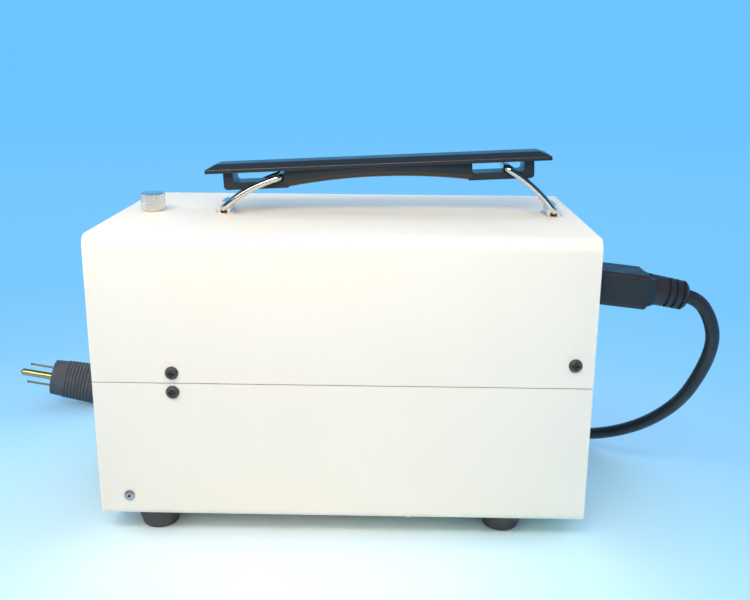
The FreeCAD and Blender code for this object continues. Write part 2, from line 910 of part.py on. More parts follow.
def bracket(pivot_x):
    """Chromed staple over a ring's lower bar, clinched through the cover."""
    inner = rod_radius + fit
    outer = inner + bracket_wall
    base = Vector(pivot_x, -bracket_depth / 2, pivot_z)
    arch = rod(outer, base, Y_AXIS, bracket_depth)
    y = span(0, bracket_depth)
    legs = block(span(pivot_x, 2 * outer), y, (z_top, pivot_z))
    feet = block(span(pivot_x, 2 * (outer + bracket_foot)), y, (z_top, z_top + bracket_foot_height))
    tunnel = rod(inner, base - Y_AXIS * overrun, Y_AXIS, bracket_depth + 2 * overrun)
    mouth = block(span(pivot_x, 2 * inner), span(0, bracket_depth + 2 * overrun), (z_top - overrun, pivot_z))
    pieces = [cut(joined([arch, legs, feet]), [tunnel, mouth])]
    under = z_top - sheet
    for side in (-1, 1):
        wall = sorted((pivot_x + side * inner, pivot_x + side * outer))
        toe = sorted((pivot_x + side * inner, pivot_x + side * (outer + bracket_tab_reach)))
        y = span(0, bracket_tab_depth)
        pieces.append(block(wall, y, (under, z_top)))
        pieces.append(block(toe, y, (under - bracket_tab_drop, under)))
    return joined(pieces)


def light_guide_port():
    """Aluminium sleeve that the light guide's ferrule slides into."""
    front = front_face - port_flange_height
    bore = port_bore_radius
    profile = [
        (port_mouth_chamfer, bore), (0, bore + port_mouth_chamfer), (0, port_flange_radius),
        (port_flange_height, port_flange_radius), (port_flange_height, port_radius),
        (port_flange_height + port_length, port_radius), (port_flange_height + port_length, bore)]
    sleeve = turned(profile, Vector(front, 0, port_z), X_AXIS)
    seat = port_seat_z()
    cutter = block(span(thumb_x, 2 * bush_across_flats), span(0, 2 * port_radius), (seat, seat + port_radius))
    hole = rod(thumb_shank_radius + play, Vector(thumb_x, 0, port_z), Z_AXIS, port_radius)
    holes = []
    for place in port_screw_places():
        start = place - X_AXIS * (port_flange_height + overrun)
        holes.append(rod(port_screw_shank_radius + fit, start, X_AXIS, port_flange_height + 2 * overrun))
    clear_front = block((front, front_inner), span(0, 2 * port_radius), (seat, seat + port_radius))
    return cut(sleeve, [cutter.cut(clear_front), hole] + holes)


def port_seat_z():
    """Height of the flat on the sleeve that the bush stands on."""
    return port_z + (port_radius + port_bore_radius) / 2


def port_screws():
    """Small screws that hold the port's flange to the panel."""
    screws = []
    for place in port_screw_places():
        seat = place - X_AXIS * port_flange_height
        shank = rod(port_screw_shank_radius, seat, X_AXIS, port_screw_length)
        head = rod(port_screw_head_radius, seat - X_AXIS * port_screw_head_height, X_AXIS, port_screw_head_height)
        screws.append(joined([head, shank]))
    return Part.makeCompound(screws)


def clamp_bush():
    """Threaded hexagon bush between the sleeve and the cover."""
    seat = port_seat_z()
    height = z_top - sheet - seat
    bush = hexagon(bush_across_flats, Vector(thumb_x, 0, seat), Z_AXIS, height)
    return bush.cut(rod(thumb_shank_radius + fit, Vector(thumb_x, 0, seat), Z_AXIS, height))


def thumb_screw():
    """Bright thumb screw with a straight knurl, a thin collar and a plain tip."""
    base = z_top + thumb_lift
    collar_top = base + thumb_collar_height
    top = base + thumb_height
    tip = port_z + port_bore_radius + thumb_tip_clearance
    profile = [
        (tip, 0), (tip, thumb_tip_radius), (tip + thumb_tip_length, thumb_tip_radius),
        (tip + thumb_tip_length, thumb_shank_radius), (base, thumb_shank_radius),
        (base, thumb_collar_radius), (collar_top, thumb_collar_radius),
        (collar_top, thumb_radius - thumb_chamfer), (collar_top + thumb_chamfer, thumb_radius),
        (top - thumb_chamfer, thumb_radius), (top, thumb_radius - thumb_chamfer), (top, 0)]
    screw = turned(profile, Vector(thumb_x, 0, 0), Z_AXIS)
    half = thumb_radius * math.sin(math.pi / knurl_count) - fit
    grooves = []
    for index in range(knurl_count):
        corners = [
            Vector(thumb_radius - knurl_depth, 0, collar_top),
            Vector(thumb_radius + fit, half, collar_top),
            Vector(thumb_radius + fit, -half, collar_top)]
        groove = prism(corners, Vector(0, 0, thumb_height))
        groove.rotate(ORIGIN, Z_AXIS, 360 / knurl_count * index)
        groove.translate(Vector(thumb_x, 0, 0))
        grooves.append(groove)
    return cut(screw, grooves)


def lamp_bulkhead():
    """Plate across the housing between the port and the lamp, flanged at its sides."""
    y = y_inner - rail_sheet
    z = (z_floor + chassis_bend - sheet, z_top - sheet - bulkhead_top_gap)
    wall = block((bulkhead_x, bulkhead_x + bulkhead_sheet), (-y, y), z)
    x = (bulkhead_x, bulkhead_x + bulkhead_flange)
    flanges = both_sides([block(x, (-y, -y + bulkhead_sheet), z)])
    opening = rod(bulkhead_opening_radius, Vector(bulkhead_x - overrun, 0, port_z), X_AXIS, 2 * overrun + sheet)
    holes = [side_hole(px, pz, screw_shank_radius + fit) for px, pz in case_screw_places()[:2]]
    return cut(joined([wall] + flanges), [opening] + holes)


def heat_filter():
    """Heat-absorbing glass disc in front of the lamp."""
    place = Vector(bulkhead_x + bulkhead_sheet, 0, port_z)
    return rod(filter_radius, place, X_AXIS, filter_thickness)


def filter_ring():
    """Ring that holds the glass against the bulkhead."""
    inner = filter_radius + fit
    depth = filter_thickness + filter_ring_lip_depth
    lip = inner - filter_ring_lip
    outer = inner + filter_ring_wall
    profile = [(0, inner), (0, outer), (depth, outer), (depth, lip), (filter_thickness, lip)]
    profile.append((filter_thickness, inner))
    return turned(profile, Vector(bulkhead_x + bulkhead_sheet, 0, port_z), X_AXIS)


def lamp_reflector():
    """Faceless bowl reflector of the lamp, open at the front and at its neck."""
    start = Vector(lamp_x, 0, port_z)
    rim = reflector_rim
    depth = reflector_depth
    bulge = (reflector_radius + reflector_neck_radius) / 2 + reflector_rim
    outer = [
        (0, reflector_radius), (rim, reflector_radius), (depth / 2, bulge),
        (depth, reflector_neck_radius)]
    inner = [(depth, reflector_neck_radius - reflector_wall), (depth / 2, bulge - reflector_wall)]
    inner.append((0, reflector_radius - reflector_wall))
    return turned(outer + inner, start, X_AXIS)


def lamp_base():
    """Ceramic cap cemented into the reflector's neck."""
    start = Vector(lamp_x + reflector_depth, 0, port_z)
    base = rod(lamp_base_radius, start, X_AXIS, lamp_base_length)
    holes = [rod(lamp_pin_radius + fit, start + offset, X_AXIS, lamp_base_length) for offset in pin_offsets()]
    bore = rod(capsule_radius + fit, start, X_AXIS, capsule_length / 4)
    return cut(base, holes + [bore])


def pin_offsets():
    """Offsets of the lamp's two pins from its axis."""
    return [Vector(0, side * lamp_pin_spacing / 2, 0) for side in (-1, 1)]


def lamp_bulb():
    """Quartz capsule with its two pins."""
    start = Vector(lamp_x + reflector_depth + capsule_length / 4, 0, port_z)
    straight = capsule_length - capsule_radius
    capsule = rod(capsule_radius, start - X_AXIS * straight, X_AXIS, straight)
    tip = Part.makeSphere(capsule_radius, start - X_AXIS * straight)
    length = lamp_base_length - capsule_length / 4 + lamp_pin_length
    pins = [rod(lamp_pin_radius, start + offset, X_AXIS, length) for offset in pin_offsets()]
    return joined([capsule, tip] + pins)


def lamp_socket():
    """Ceramic socket behind the lamp."""
    x = lamp_x + reflector_depth + lamp_base_length
    body = block((x, x + socket_length), span(0, socket_width), span(port_z, socket_height))
    body = rounded(body, recess_width, X_AXIS, everywhere)
    start = Vector(x, 0, port_z)
    holes = [rod(lamp_pin_radius + fit, start + offset, X_AXIS, lamp_pin_length) for offset in pin_offsets()]
    return cut(body, holes)


def lamp_holder():
    """Bent bracket from the bulkhead that carries the reflector and the socket."""
    z_base = port_z - holder_drop
    socket_end = lamp_x + reflector_depth + lamp_base_length + socket_length
    start = bulkhead_x + bulkhead_sheet
    y = span(0, holder_width)
    base = block((start, socket_end + holder_sheet), y, (z_base, z_base + holder_sheet))
    foot = block((start, start + holder_sheet), y, (z_base - holder_drop / 3, z_base + holder_sheet))
    front_x = lamp_x - holder_sheet
    top = port_z + reflector_radius
    front = block((front_x, lamp_x), y, (z_base, top))
    opening = rod(holder_opening_radius, Vector(front_x - overrun, 0, port_z), X_AXIS, 2 * overrun + sheet)
    rear = block((socket_end, socket_end + holder_sheet), y, (z_base, port_z + socket_height))
    return joined([base, foot, front, rear]).cut(opening)


def transformer_tray():
    """Steel strap across the chassis floor."""
    y = y_inner - (chassis_bend - sheet) - play
    floor = block(span(strap_x, tray_width), (-y, y), (z_floor, z_floor + tray_sheet))
    holes = []
    for side in (-1, 1):
        place = Vector(strap_x, side * tray_screw_y(), z_floor - overrun)
        holes.append(rod(tray_screw_shank_radius + fit, place, Z_AXIS, tray_sheet + 2 * overrun))
    for bolt_x, bolt_y in core_bolt_places():
        place = Vector(bolt_x, bolt_y, z_floor - overrun)
        holes.append(rod(core_bolt_radius + fit, place, Z_AXIS, tray_sheet + 2 * overrun))
    return cut(floor, holes)


def tray_screws():
    """Screws up through the chassis near its long edges."""
    screws = []
    for side in (-1, 1):
        screws.append(pan_screw(
            tray_screw_head_radius, tray_screw_head_height, tray_screw_shank_radius, tray_screw_length,
            Vector(strap_x, side * tray_screw_y(), z_bottom), Z_AXIS))
    return Part.makeCompound(screws)


def core_bolt_places():
    """X and Y of the transformer's two clamping bolts."""
    reach = core_stack / 2 + core_bolt_inset
    return [(strap_x, side * reach) for side in (-1, 1)]


def transformer_base():
    """Height of the transformer's underside."""
    return z_floor + tray_sheet


def transformer_core():
    """Laminated core with two windows."""
    base = transformer_base()
    leg = core_length * core_leg_share
    x = span(strap_x, core_length)
    y = span(0, core_stack)
    core = block(x, y, (base, base + core_height))
    windows = []
    for side in (-1, 1):
        edge = strap_x + side * leg
        window_x = sorted((edge, edge + side * leg))
        window_z = (base + leg, base + core_height - leg)
        windows.append(block(window_x, span(0, core_stack + 2 * overrun), window_z))
    return cut(core, windows)


def winding_window():
    """Reach of the coil windows along X, and their height span."""
    leg = core_length * core_leg_share
    base = transformer_base()
    return leg, (base + leg, base + core_height - leg)


def transformer_bobbin():
    """Plastic bobbin: a cheek at the top and at the bottom of the windows."""
    leg, z = winding_window()
    outer_x = span(strap_x, 4 * leg - 2 * play)
    outer_y = span(0, core_stack + 2 * bobbin_reach)
    inner_x = span(strap_x, 2 * leg + 2 * play)
    inner_y = span(0, core_stack + 2 * play)
    cheeks = []
    for low in (z[0] + play, z[1] - play - bobbin_wall):
        cheeks.append(block(outer_x, outer_y, (low, low + bobbin_wall)))
    tube_x = span(strap_x, 2 * leg + 2 * play + 2 * bobbin_wall)
    tube_y = span(0, core_stack + 2 * play + 2 * bobbin_wall)
    tube = block(tube_x, tube_y, (z[0] + play, z[1] - play))
    return joined(cheeks + [tube]).cut(block(inner_x, inner_y, z))


def transformer_winding():
    """Taped winding between the cheeks."""
    leg, z = winding_window()
    outer_x = span(strap_x, 4 * leg - 2 * bobbin_wall)
    outer_y = span(0, core_stack + 2 * winding_reach)
    inner_x = span(strap_x, 2 * leg + 2 * play + 2 * bobbin_wall)
    inner_y = span(0, core_stack + 2 * play + 2 * bobbin_wall)
    height = (z[0] + play + bobbin_wall, z[1] - play - bobbin_wall)
    coil = rounded(block(outer_x, outer_y, height), winding_round, Z_AXIS, everywhere)
    return coil.cut(block(inner_x, inner_y, height))


def transformer_clamp():
    """Steel strap over the core, with feet bolted to the tray."""
    base = transformer_base()
    top = base + core_height
    y = core_stack / 2 + play
    leg = core_length * core_leg_share
    x = span(strap_x + core_length / 2 - leg / 2, leg)
    wall = bulkhead_sheet
    foot_y = y + wall + 2 * core_bolt_inset
    pieces = [block(x, (-y - wall, y + wall), (top, top + wall))]
    for side in (-1, 1):
        wall_y = sorted((side * y, side * (y + wall)))
        pieces.append(block(x, wall_y, (base, top)))
        pieces.append(block(x, sorted((side * y, side * foot_y)), (base, base + wall)))
    return joined(pieces)


def control_board():
    """Dimmer board with a relay and a capacitor."""
    x = board_x()
    z = z_floor + board_rise
    board = block(x, span(0, board_width), (z, z + board_thickness))
    top = z + board_thickness
    relay_x = (x[0] + standoff_inset + standoff_radius, x[0] + standoff_inset + standoff_radius + relay_length)
    relay = block(relay_x, span(-board_width / 4, relay_width), (top, top + relay_height))
    place = Vector(x[1] - capacitor_radius - standoff_inset, -board_width / 4, top)
    capacitor = rod(capacitor_radius, place, Z_AXIS, capacitor_height)
    holes = [rod(standoff_radius / 2, Vector(px, py, z), Z_AXIS, board_thickness) for px, py in standoff_places()]
    return cut(joined([board, relay, capacitor]), holes)


def board_x():
    """Span of the board along X."""
    return (x_front + board_from_front, x_front + board_from_front + board_length)


def standoff_places():
    """X and Y of the board's four standoffs."""
    x = board_x()
    xs = (x[0] + standoff_inset, x[1] - standoff_inset)
    y = board_width / 2 - standoff_inset
    return [(px, side * y) for px in xs for side in (-1, 1)]


def board_standoffs():
    """Four standoffs that carry the board, with a stud through it."""
    posts = []
    for x, y in standoff_places():
        post = rod(standoff_radius, Vector(x, y, z_floor), Z_AXIS, board_rise)
        stud = rod(standoff_radius / 2 - fit, Vector(x, y, z_floor), Z_AXIS, board_rise + 2 * board_thickness)
        posts.append(joined([post, stud]))
    return Part.makeCompound(posts)


def heat_sink():
    """Finned aluminium heat sink on the board."""
    x = board_x()
    z = z_floor + board_rise + board_thickness
    centre_x = (x[0] + x[1]) / 2
    y = span(board_width / 4, sink_width)
    pieces = [block(span(centre_x, sink_length), y, (z, z + sink_base))]
    pitch = (sink_width - sink_fin) / (sink_fin_count - 1)
    for index in range(sink_fin_count):
        low = y[0] + index * pitch
        pieces.append(block(span(centre_x, sink_length), (low, low + sink_fin), (z, z + sink_base + sink_fin_height)))
    return joined(pieces)


def intensity_knob():
    """Black fluted knob with a skirt and a pointer groove."""
    skirt = knob_skirt_length
    profile = [
        (0, 0), (0, knob_skirt_radius), (skirt, knob_skirt_radius), (skirt, knob_radius),
        (knob_length - knob_round, knob_radius), (knob_length, knob_radius - knob_round), (knob_length, 0)]
    start = Vector(knob_start, knob_y, control_z)
    knob = turned(profile, start, -X_AXIS)
    tools = []
    for index in range(knob_flute_count):
        turn = math.radians(360 / knob_flute_count * (index + 1 / 2))
        reach = knob_radius + knob_flute_radius - knob_flute_sink
        offset = Vector(-skirt, reach * math.cos(turn), reach * math.sin(turn))
        tools.append(rod(knob_flute_radius, start + offset, -X_AXIS, knob_length))
    tools.append(rod(shaft_radius + fit, start, -X_AXIS, knob_hole_depth))
    groove_x = (knob_end - overrun, knob_end + pointer_depth)
    tools.append(block(groove_x, span(knob_y, pointer_width), (control_z, control_z + knob_radius + overrun)))
    return cut(knob, tools)


def pot_shaft():
    """Shaft that turns with the knob."""
    length = knob_gap + sheet + shaft_inside + knob_hole_depth
    return rod(shaft_radius, Vector(front_inner + shaft_inside, knob_y, control_z), -X_AXIS, length)


def potentiometer():
    """Potentiometer behind the panel, with its threaded bush and a lug plate."""
    start = Vector(front_inner, knob_y, control_z)
    body = rod(pot_radius, start, X_AXIS, pot_depth)
    bush = rod(bush_radius, start, -X_AXIS, sheet)
    lug_x = (front_inner + pot_depth / 2, front_inner + pot_depth / 2 + pot_lug_thickness)
    lug_z = (control_z - pot_radius - pot_lug_length, control_z)
    lugs = block(lug_x, span(knob_y, pot_lug_width), lug_z)
    bore = rod(shaft_radius + fit, Vector(front_face - overrun, knob_y, control_z), X_AXIS, sheet + shaft_inside + overrun)
    return joined([body, bush, lugs]).cut(bore)


def switch_frame():
    """Snap-in frame and body of the rocker switch."""
    bezel_x = (front_face - switch_bezel_depth, front_face)
    bezel = block(bezel_x, span(switch_y, switch_bezel_width), span(control_z, switch_bezel_height))
    bezel = rounded(bezel, switch_bezel_depth, X_AXIS, everywhere)
    body_x = (front_face - fit, front_face + switch_body_depth)
    body = block(body_x, span(switch_y, switch_body_width), span(control_z, switch_body_height))
    pieces = [bezel, body]
    for index in (-1, 0, 1):
        x = (body_x[1], body_x[1] + switch_terminal_length)
        z = span(control_z + index * switch_body_height / 3, switch_terminal_thickness)
        pieces.append(block(x, span(switch_y, switch_terminal_width), z))
    clearance = 2 * rocker_clearance
    well_x = (bezel_x[0] - overrun, front_face + rocker_well_depth)
    well_y = span(switch_y, rocker_width + clearance)
    well = block(well_x, well_y, span(control_z, rocker_height + clearance))
    return cut(joined(pieces), [well, rocker_pivot(fit)])


def rocker_pivot(gap):
    """Pivot pin of the rocker, or the bearing for it with a gap all round."""
    length = rocker_width + 2 * (rocker_clearance + rocker_pivot_reach + gap)
    start = Vector(front_face + rocker_pivot_depth, switch_y - length / 2, control_z)
    return rod(rocker_pivot_radius + gap, start, Y_AXIS, length)


def switch_rocker():
    """Rocker with a shallow V face on two pivot stubs, tipped to off."""
    pivot_x = front_face + rocker_pivot_depth
    face_x = front_face - switch_bezel_depth - rocker_rise
    half = rocker_height / 2 - rocker_clearance
    waist = half - rocker_clearance
    back_x = pivot_x + rocker_pivot_radius + rocker_clearance
    y = switch_y - rocker_width / 2
    outline = [
        Vector(face_x, y, control_z - waist), Vector(face_x + rocker_rise / 2, y, control_z),
        Vector(face_x, y, control_z + waist), Vector(back_x, y, control_z + waist / 2),
        Vector(back_x, y, control_z - waist / 2)]
    rocker = joined([prism(outline, Vector(0, rocker_width, 0)), rocker_pivot(0)])
    rocker.rotate(Vector(pivot_x, switch_y, control_z), Y_AXIS, rocker_angle)
    return rocker


def fan_frame():
    """Square fan housing with struts to the motor plate on its inner side."""
    x = (rear_inner - fan_depth, rear_inner)
    frame = block(x, span(fan_y, fan_size), span(fan_z, fan_size))
    frame = rounded(frame, fan_corner, X_AXIS, everywhere)
    start = Vector(x[0] - overrun, fan_y, fan_z)
    frame = frame.cut(rod(fan_bore_radius, start, X_AXIS, fan_depth + 2 * overrun))
    motor = rod(fan_hub_radius, Vector(x[0], fan_y, fan_z), X_AXIS, fan_motor_depth)
    struts = []
    for index in range(fan_strut_count):
        strut = block((x[0], x[0] + fan_motor_depth), (0, fan_bore_radius + play), span(0, fan_strut_width))
        strut.rotate(ORIGIN, X_AXIS, 45 + 360 / fan_strut_count * index)
        strut.translate(Vector(0, fan_y, fan_z))
        struts.append(strut)
    stub = rod(fan_strut_width / 2, Vector(x[0], fan_y, fan_z), X_AXIS, fan_motor_depth + rotor_length / 2)
    holes = []
    for y, z in fan_hole_places():
        holes.append(rod(fan_hole_radius, Vector(x[0] - overrun, y, z), X_AXIS, fan_depth + 2 * overrun))
    return cut(joined([frame, motor, stub] + struts), holes)


def fan_rotor():
    """Hub with pitched blades."""
    start_x = rear_inner - fan_depth + fan_motor_depth + rotor_gap
    hub = rod(fan_hub_radius, Vector(start_x, 0, 0), X_AXIS, rotor_length)
    tip = fan_bore_radius - blade_tip_gap
    ring_space = rod(tip, Vector(start_x, 0, 0), X_AXIS, rotor_length)
    middle = start_x + rotor_length / 2
    blades = []
    for index in range(blade_count):
        z = (fan_hub_radius - overrun, fan_bore_radius)
        blade = block(span(0, blade_chord), span(0, blade_thickness), z)
        blade.rotate(ORIGIN, Z_AXIS, blade_pitch)
        blade.translate(Vector(middle, 0, 0))
        blade.rotate(ORIGIN, X_AXIS, 360 / blade_count * index)
        blades.append(blade.common(ring_space))
    rotor = joined([hub] + blades)
    bore = rod(fan_strut_width / 2 + fit, Vector(start_x, 0, 0), X_AXIS, rotor_length / 2)
    rotor = rotor.cut(bore)
    rotor.translate(Vector(0, fan_y, fan_z))
    return rotor


def guard_ring_radii():
    """Radii of the guard's rings, the smallest first."""
    largest = fan_bore_radius - guard_ring_inset
    return [largest - guard_ring_pitch * index for index in reversed(range(guard_ring_count))]


def guard_rib(way):
    """Rib from the smallest ring out to a screw eye, bent down to the panel."""
    high = rear_face + guard_rise + guard_wire - guard_rib_sink
    low = rear_face + guard_eye_height / 2
    reach = fan_hole_spacing / math.sqrt(2)
    eye = reach - fan_screw_shank_radius - guard_rib_wire
    bend = fan_bore_radius + guard_bend_beyond
    side = X_AXIS.cross(way) * guard_rib_wire
    line = ((high, guard_ring_radii()[0]), (high, bend), (low, eye - guard_eye_radius), (low, eye))
    outline = []
    for x, out in line:
        outline.append(Vector(x + guard_rib_wire, fan_y, fan_z) + way * out - side)
    for x, out in reversed(line):
        outline.append(Vector(x - guard_rib_wire, fan_y, fan_z) + way * out - side)
    return prism(outline, side * 2)


def guard_ring(radius):
    """Six-sided wire ring of the fan guard."""
    profile = []
    for index in range(6):
        turn = math.radians(60 * index)
        profile.append((guard_wire * math.sin(turn), radius + guard_wire * math.cos(turn)))
    centre = Vector(rear_face + guard_rise + guard_wire, fan_y, fan_z)
    return turned(profile, centre, X_AXIS)


def fan_guard():
    """Wire guard: concentric rings on four ribs that end in screw eyes."""
    pieces = [guard_ring(radius) for radius in guard_ring_radii()]
    holes = []
    for y, z in fan_hole_places():
        way = Vector(0, y - fan_y, z - fan_z)
        way.normalize()
        place = Vector(rear_face, y, z)
        pieces.append(guard_rib(way))
        pieces.append(rod(guard_eye_radius, place, X_AXIS, guard_eye_height))
        holes.append(rod(fan_screw_shank_radius + fit, place - X_AXIS * overrun, X_AXIS, guard_eye_radius + overrun))
    return cut(joined(pieces), holes)


def fan_screws():
    """Screws through guard, panel and fan."""
    screws = []
    for y, z in fan_hole_places():
        seat = Vector(rear_face + guard_eye_height, y, z)
        screws.append(pan_screw(
            fan_screw_head_radius, fan_screw_head_height, fan_screw_shank_radius, fan_screw_length,
            seat, -X_AXIS))
    return Part.makeCompound(screws)


def inlet_body_spans(gap):
    """Y and Z spans of the inlet's body, with a gap all round."""
    width = inlet_flange_width - 2 * inlet_body_wall
    height = inlet_flange_height - 2 * inlet_body_wall
    return span(inlet_y, width + 2 * gap), span(inlet_z, height + 2 * gap)


def inlet_cavity(gap, depth, start_x):
    """Six-cornered socket shape, narrower at the top corners."""
    y = span(inlet_y, inlet_socket_width - 2 * gap)
    z = span(socket_z, inlet_socket_height - 2 * gap)
    cut_back = inlet_socket_cut
    outline = [
        Vector(start_x, y[0], z[0]), Vector(start_x, y[1], z[0]), Vector(start_x, y[1], z[1] - cut_back),
        Vector(start_x, y[1] - cut_back, z[1]), Vector(start_x, y[0] + cut_back, z[1]),
        Vector(start_x, y[0], z[1] - cut_back)]
    return prism(outline, Vector(depth, 0, 0))


def drawer_space(gap):
    """Space of the fuse drawer behind the flange."""
    x = (rear_face + inlet_flange_depth - drawer_length - gap, rear_face + inlet_flange_depth + gap)
    return x, span(inlet_y, drawer_width + 2 * gap), span(drawer_z, drawer_height + 2 * gap)


def power_inlet():
    """Moulded inlet: flange, body, socket for the connector and a drawer bay."""
    face = rear_face + inlet_flange_depth
    flange = block((rear_face, face), span(inlet_y, inlet_flange_width), span(inlet_z, inlet_flange_height))
    flange = rounded(flange, inlet_flange_round, X_AXIS, everywhere)
    y, z = inlet_body_spans(0)
    body = block((rear_face - inlet_body_depth, rear_face + inlet_flange_depth / 2), y, z)
    socket = inlet_cavity(0, inlet_socket_depth + overrun, face - inlet_socket_depth)
    x, drawer_y, drawer_z_span = drawer_space(play)
    bay = block((x[0], face + overrun), drawer_y, drawer_z_span)
    return cut(joined([flange, body]), [socket, bay])


def inlet_contacts():
    """Three contacts in the socket, and their tabs behind the body."""
    floor_x = rear_face + inlet_flange_depth - inlet_socket_depth
    back_x = rear_face - inlet_body_depth
    contacts = []
    for index, drop in ((-1, contact_drop), (0, -contact_drop), (1, contact_drop)):
        y = inlet_y + index * contact_spacing
        z = socket_z - drop
        blade = block((floor_x, floor_x + contact_length), span(y, contact_thickness), span(z, contact_width))
        tab = block((back_x - blade_terminal_length, back_x), span(y, blade_terminal_thickness), span(z, contact_width))
        contacts += [blade, tab]
    return Part.makeCompound(contacts)


def fuse_drawer():
    """Drawer that holds the fuse and slides out below the socket."""
    x, y, z = drawer_space(0)
    face = rear_face + inlet_flange_depth
    tray = block(x, y, z)
    pull_z = (drawer_z - drawer_height / 4, drawer_z + drawer_height / 4)
    pull = block((face - pointer_depth, face + overrun), span(inlet_y, drawer_width / 2), pull_z)
    bed = rod(fuse_radius + fit, Vector(x[0] - overrun, inlet_y, drawer_z), X_AXIS, fuse_length)
    channel = block((x[0] - overrun, x[0] + fuse_length - overrun), span(inlet_y, 2 * fuse_radius), (drawer_z, z[1] + overrun))
    return cut(tray, [pull, bed, channel])


def fuse():
    """Glass tube fuse lying in the drawer."""
    x, y, z = drawer_space(0)
    length = fuse_length - 2 * overrun
    return rod(fuse_radius, Vector(x[0] + play, inlet_y, drawer_z), X_AXIS, length)


def connector_start():
    """Middle of the connector's front face, just outside the inlet."""
    return Vector(rear_face + inlet_flange_depth + connector_gap, inlet_y, socket_z)


def drooping(direction_angle):
    """Unit vector along +X that points down by an angle."""
    turn = math.radians(direction_angle)
    return Vector(math.cos(turn), 0, -math.sin(turn))


def box_wire(centre, axis, width, height):
    """Rectangle square to an axis, its width along Y."""
    up = axis.cross(Y_AXIS)
    corners = []
    for a, b in ((-1, -1), (1, -1), (1, 1), (-1, 1)):
        corners.append(centre + Y_AXIS * (a * width / 2) + up * (b * height / 2))
    return Part.makePolygon(corners + [corners[0]])


def relief_start():
    """Where the strain relief leaves the connector's body."""
    return connector_start() + drooping(connector_droop) * (connector_length + connector_shoulder)


def power_connector():
    """Moulded line connector with a ribbed strain relief."""
    start = connector_start()
    axis = drooping(connector_droop)
    up = axis.cross(Y_AXIS)
    body = Part.makeBox(connector_length, connector_width, connector_height)
    body.translate(Vector(0, -connector_width / 2, -connector_height / 2))
    body = rounded(body, connector_round, X_AXIS, everywhere)
    end_edges = [edge for edge in body.Edges if edge.BoundBox.XMin > connector_length - fit]
    body = body.makeFillet(connector_end_round, end_edges)
    body.Placement = FreeCAD.Placement(start, FreeCAD.Rotation(Y_AXIS, connector_droop))
    behind = block((start.x - connector_height, start.x), span(start.y, 2 * connector_width), span(start.z, 2 * connector_height))
    body = body.cut(behind)
    shoulder_start = start + axis * connector_length
    inset = 2 * connector_round
    wires = [
        box_wire(shoulder_start, axis, connector_width - inset, connector_height - inset / 2),
        box_wire(relief_start(), axis, 2 * relief_radius, 2 * relief_radius - connector_round)]
    shoulder = Part.makeLoft(wires, True, True)
    nose_length = inlet_socket_depth - connector_nose_end_gap + connector_gap
    nose = inlet_cavity(connector_nose_gap, nose_length, start.x - nose_length)
    nose = nose.cut(Part.makeCompound([contact_clearance(index) for index in (-1, 0, 1)]))
    neck = nose.common(block(span(start.x, 2 * connector_gap), span(inlet_y, connector_width), span(socket_z, inlet_socket_height)))
    neck.translate(Vector(connector_gap, 0, 0))
    return joined([body, shoulder, nose, neck, relief_body()])


def contact_clearance(index):
    """Slot in the connector's nose round one contact of the inlet."""
    drop = -contact_drop if index == 0 else contact_drop
    floor_x = rear_face + inlet_flange_depth - inlet_socket_depth
    y = span(inlet_y + index * contact_spacing, contact_thickness + 2 * play)
    z = span(socket_z - drop, contact_width + 2 * play)
    return block((floor_x, floor_x + contact_length + play), y, z)


def relief_body():
    """Thick strain relief: a plain sleeve, then ribs, with a rounded end."""
    pitch = (relief_length - relief_plain) / relief_rib_count
    slope = (relief_end_radius - relief_radius) / relief_length
    profile = [(-connector_shoulder / 2, 0), (-connector_shoulder / 2, relief_radius)]
    for index in range(relief_rib_count):
        start = relief_plain + index * pitch
        end = start + relief_groove_width
        radius = relief_radius + slope * start
        lean = relief_groove_width / 4
        profile += [(start, radius), (start + lean, radius - relief_groove)]
        profile += [(end - lean, radius - relief_groove), (end, radius)]
    profile += [(relief_length - relief_round, relief_end_radius)]
    profile += [(relief_length, relief_end_radius - relief_round), (relief_length, 0)]
    return turned(profile, relief_start(), drooping(relief_droop))


def cord_start():
    """Where the lead leaves the strain relief."""
    return relief_start() + drooping(relief_droop) * relief_length


def route_wire(points):
    """Straight runs joined by tangent arcs, each as large as its runs allow."""
    edges = []
    radii = []
    last = points[0]
    for before, point, after in zip(points, points[1:], points[2:]):
        back = before - point
        ahead = after - point
        shorter = min(back.Length, ahead.Length)
        reach = 0.45 * shorter
        turn = math.pi - back.getAngle(ahead)
        radii.append(reach / math.tan(turn / 2))
        back.normalize()
        ahead.normalize()
        start = point + back * reach
        end = point + ahead * reach
        inward = back + ahead
        inward.normalize()
        sagitta = reach * math.tan(turn / 4)
        middle = (start + end) * (1 / 2) + inward * (-sagitta)
        edges.append(Part.makeLine(last, start))
        edges.append(Part.Arc(start, middle, end).toShape())
        last = end
    edges.append(Part.makeLine(last, points[-1]))
    return Part.Wire(edges), radii


def cord_tube(points, name):
    """Round tube along a route; prints its radii and compares its volume."""
    wire, radii = route_wire(points)
    along = points[1] - points[0]
    section = Part.Wire(Part.makeCircle(cord_radius, points[0], along))
    tube = wire.makePipeShell([section], True, False)
    expected = math.pi * cord_radius ** 2 * wire.Length
    print(name, "radii", [round(radius) for radius in radii])
    print(name, "length", round(wire.Length, 1), "volume share", round(tube.Volume / expected, 4))
    return tube


def coil_point(turns):
    """Point of the put-away coil after a number of turns, clockwise from above."""
    inward = (coil_turns - 1 / 2) / 2
    climb = min(max((turns - inward) * 2, 0), 1)
    steps = min(turns, inward) + climb / 2 - climb ** 2 / 2 - max(turns - inward - 1 / 2, 0)
    radius = coil_outer_radius - coil_step * steps
    height = tie_thickness + tie_gap + cord_radius + coil_layer * (3 * climb ** 2 - 2 * climb ** 3)
    angle = -math.pi / 2 - 2 * math.pi * turns
    return Vector(coil_x + radius * math.cos(angle), coil_y + radius * math.sin(angle), height)


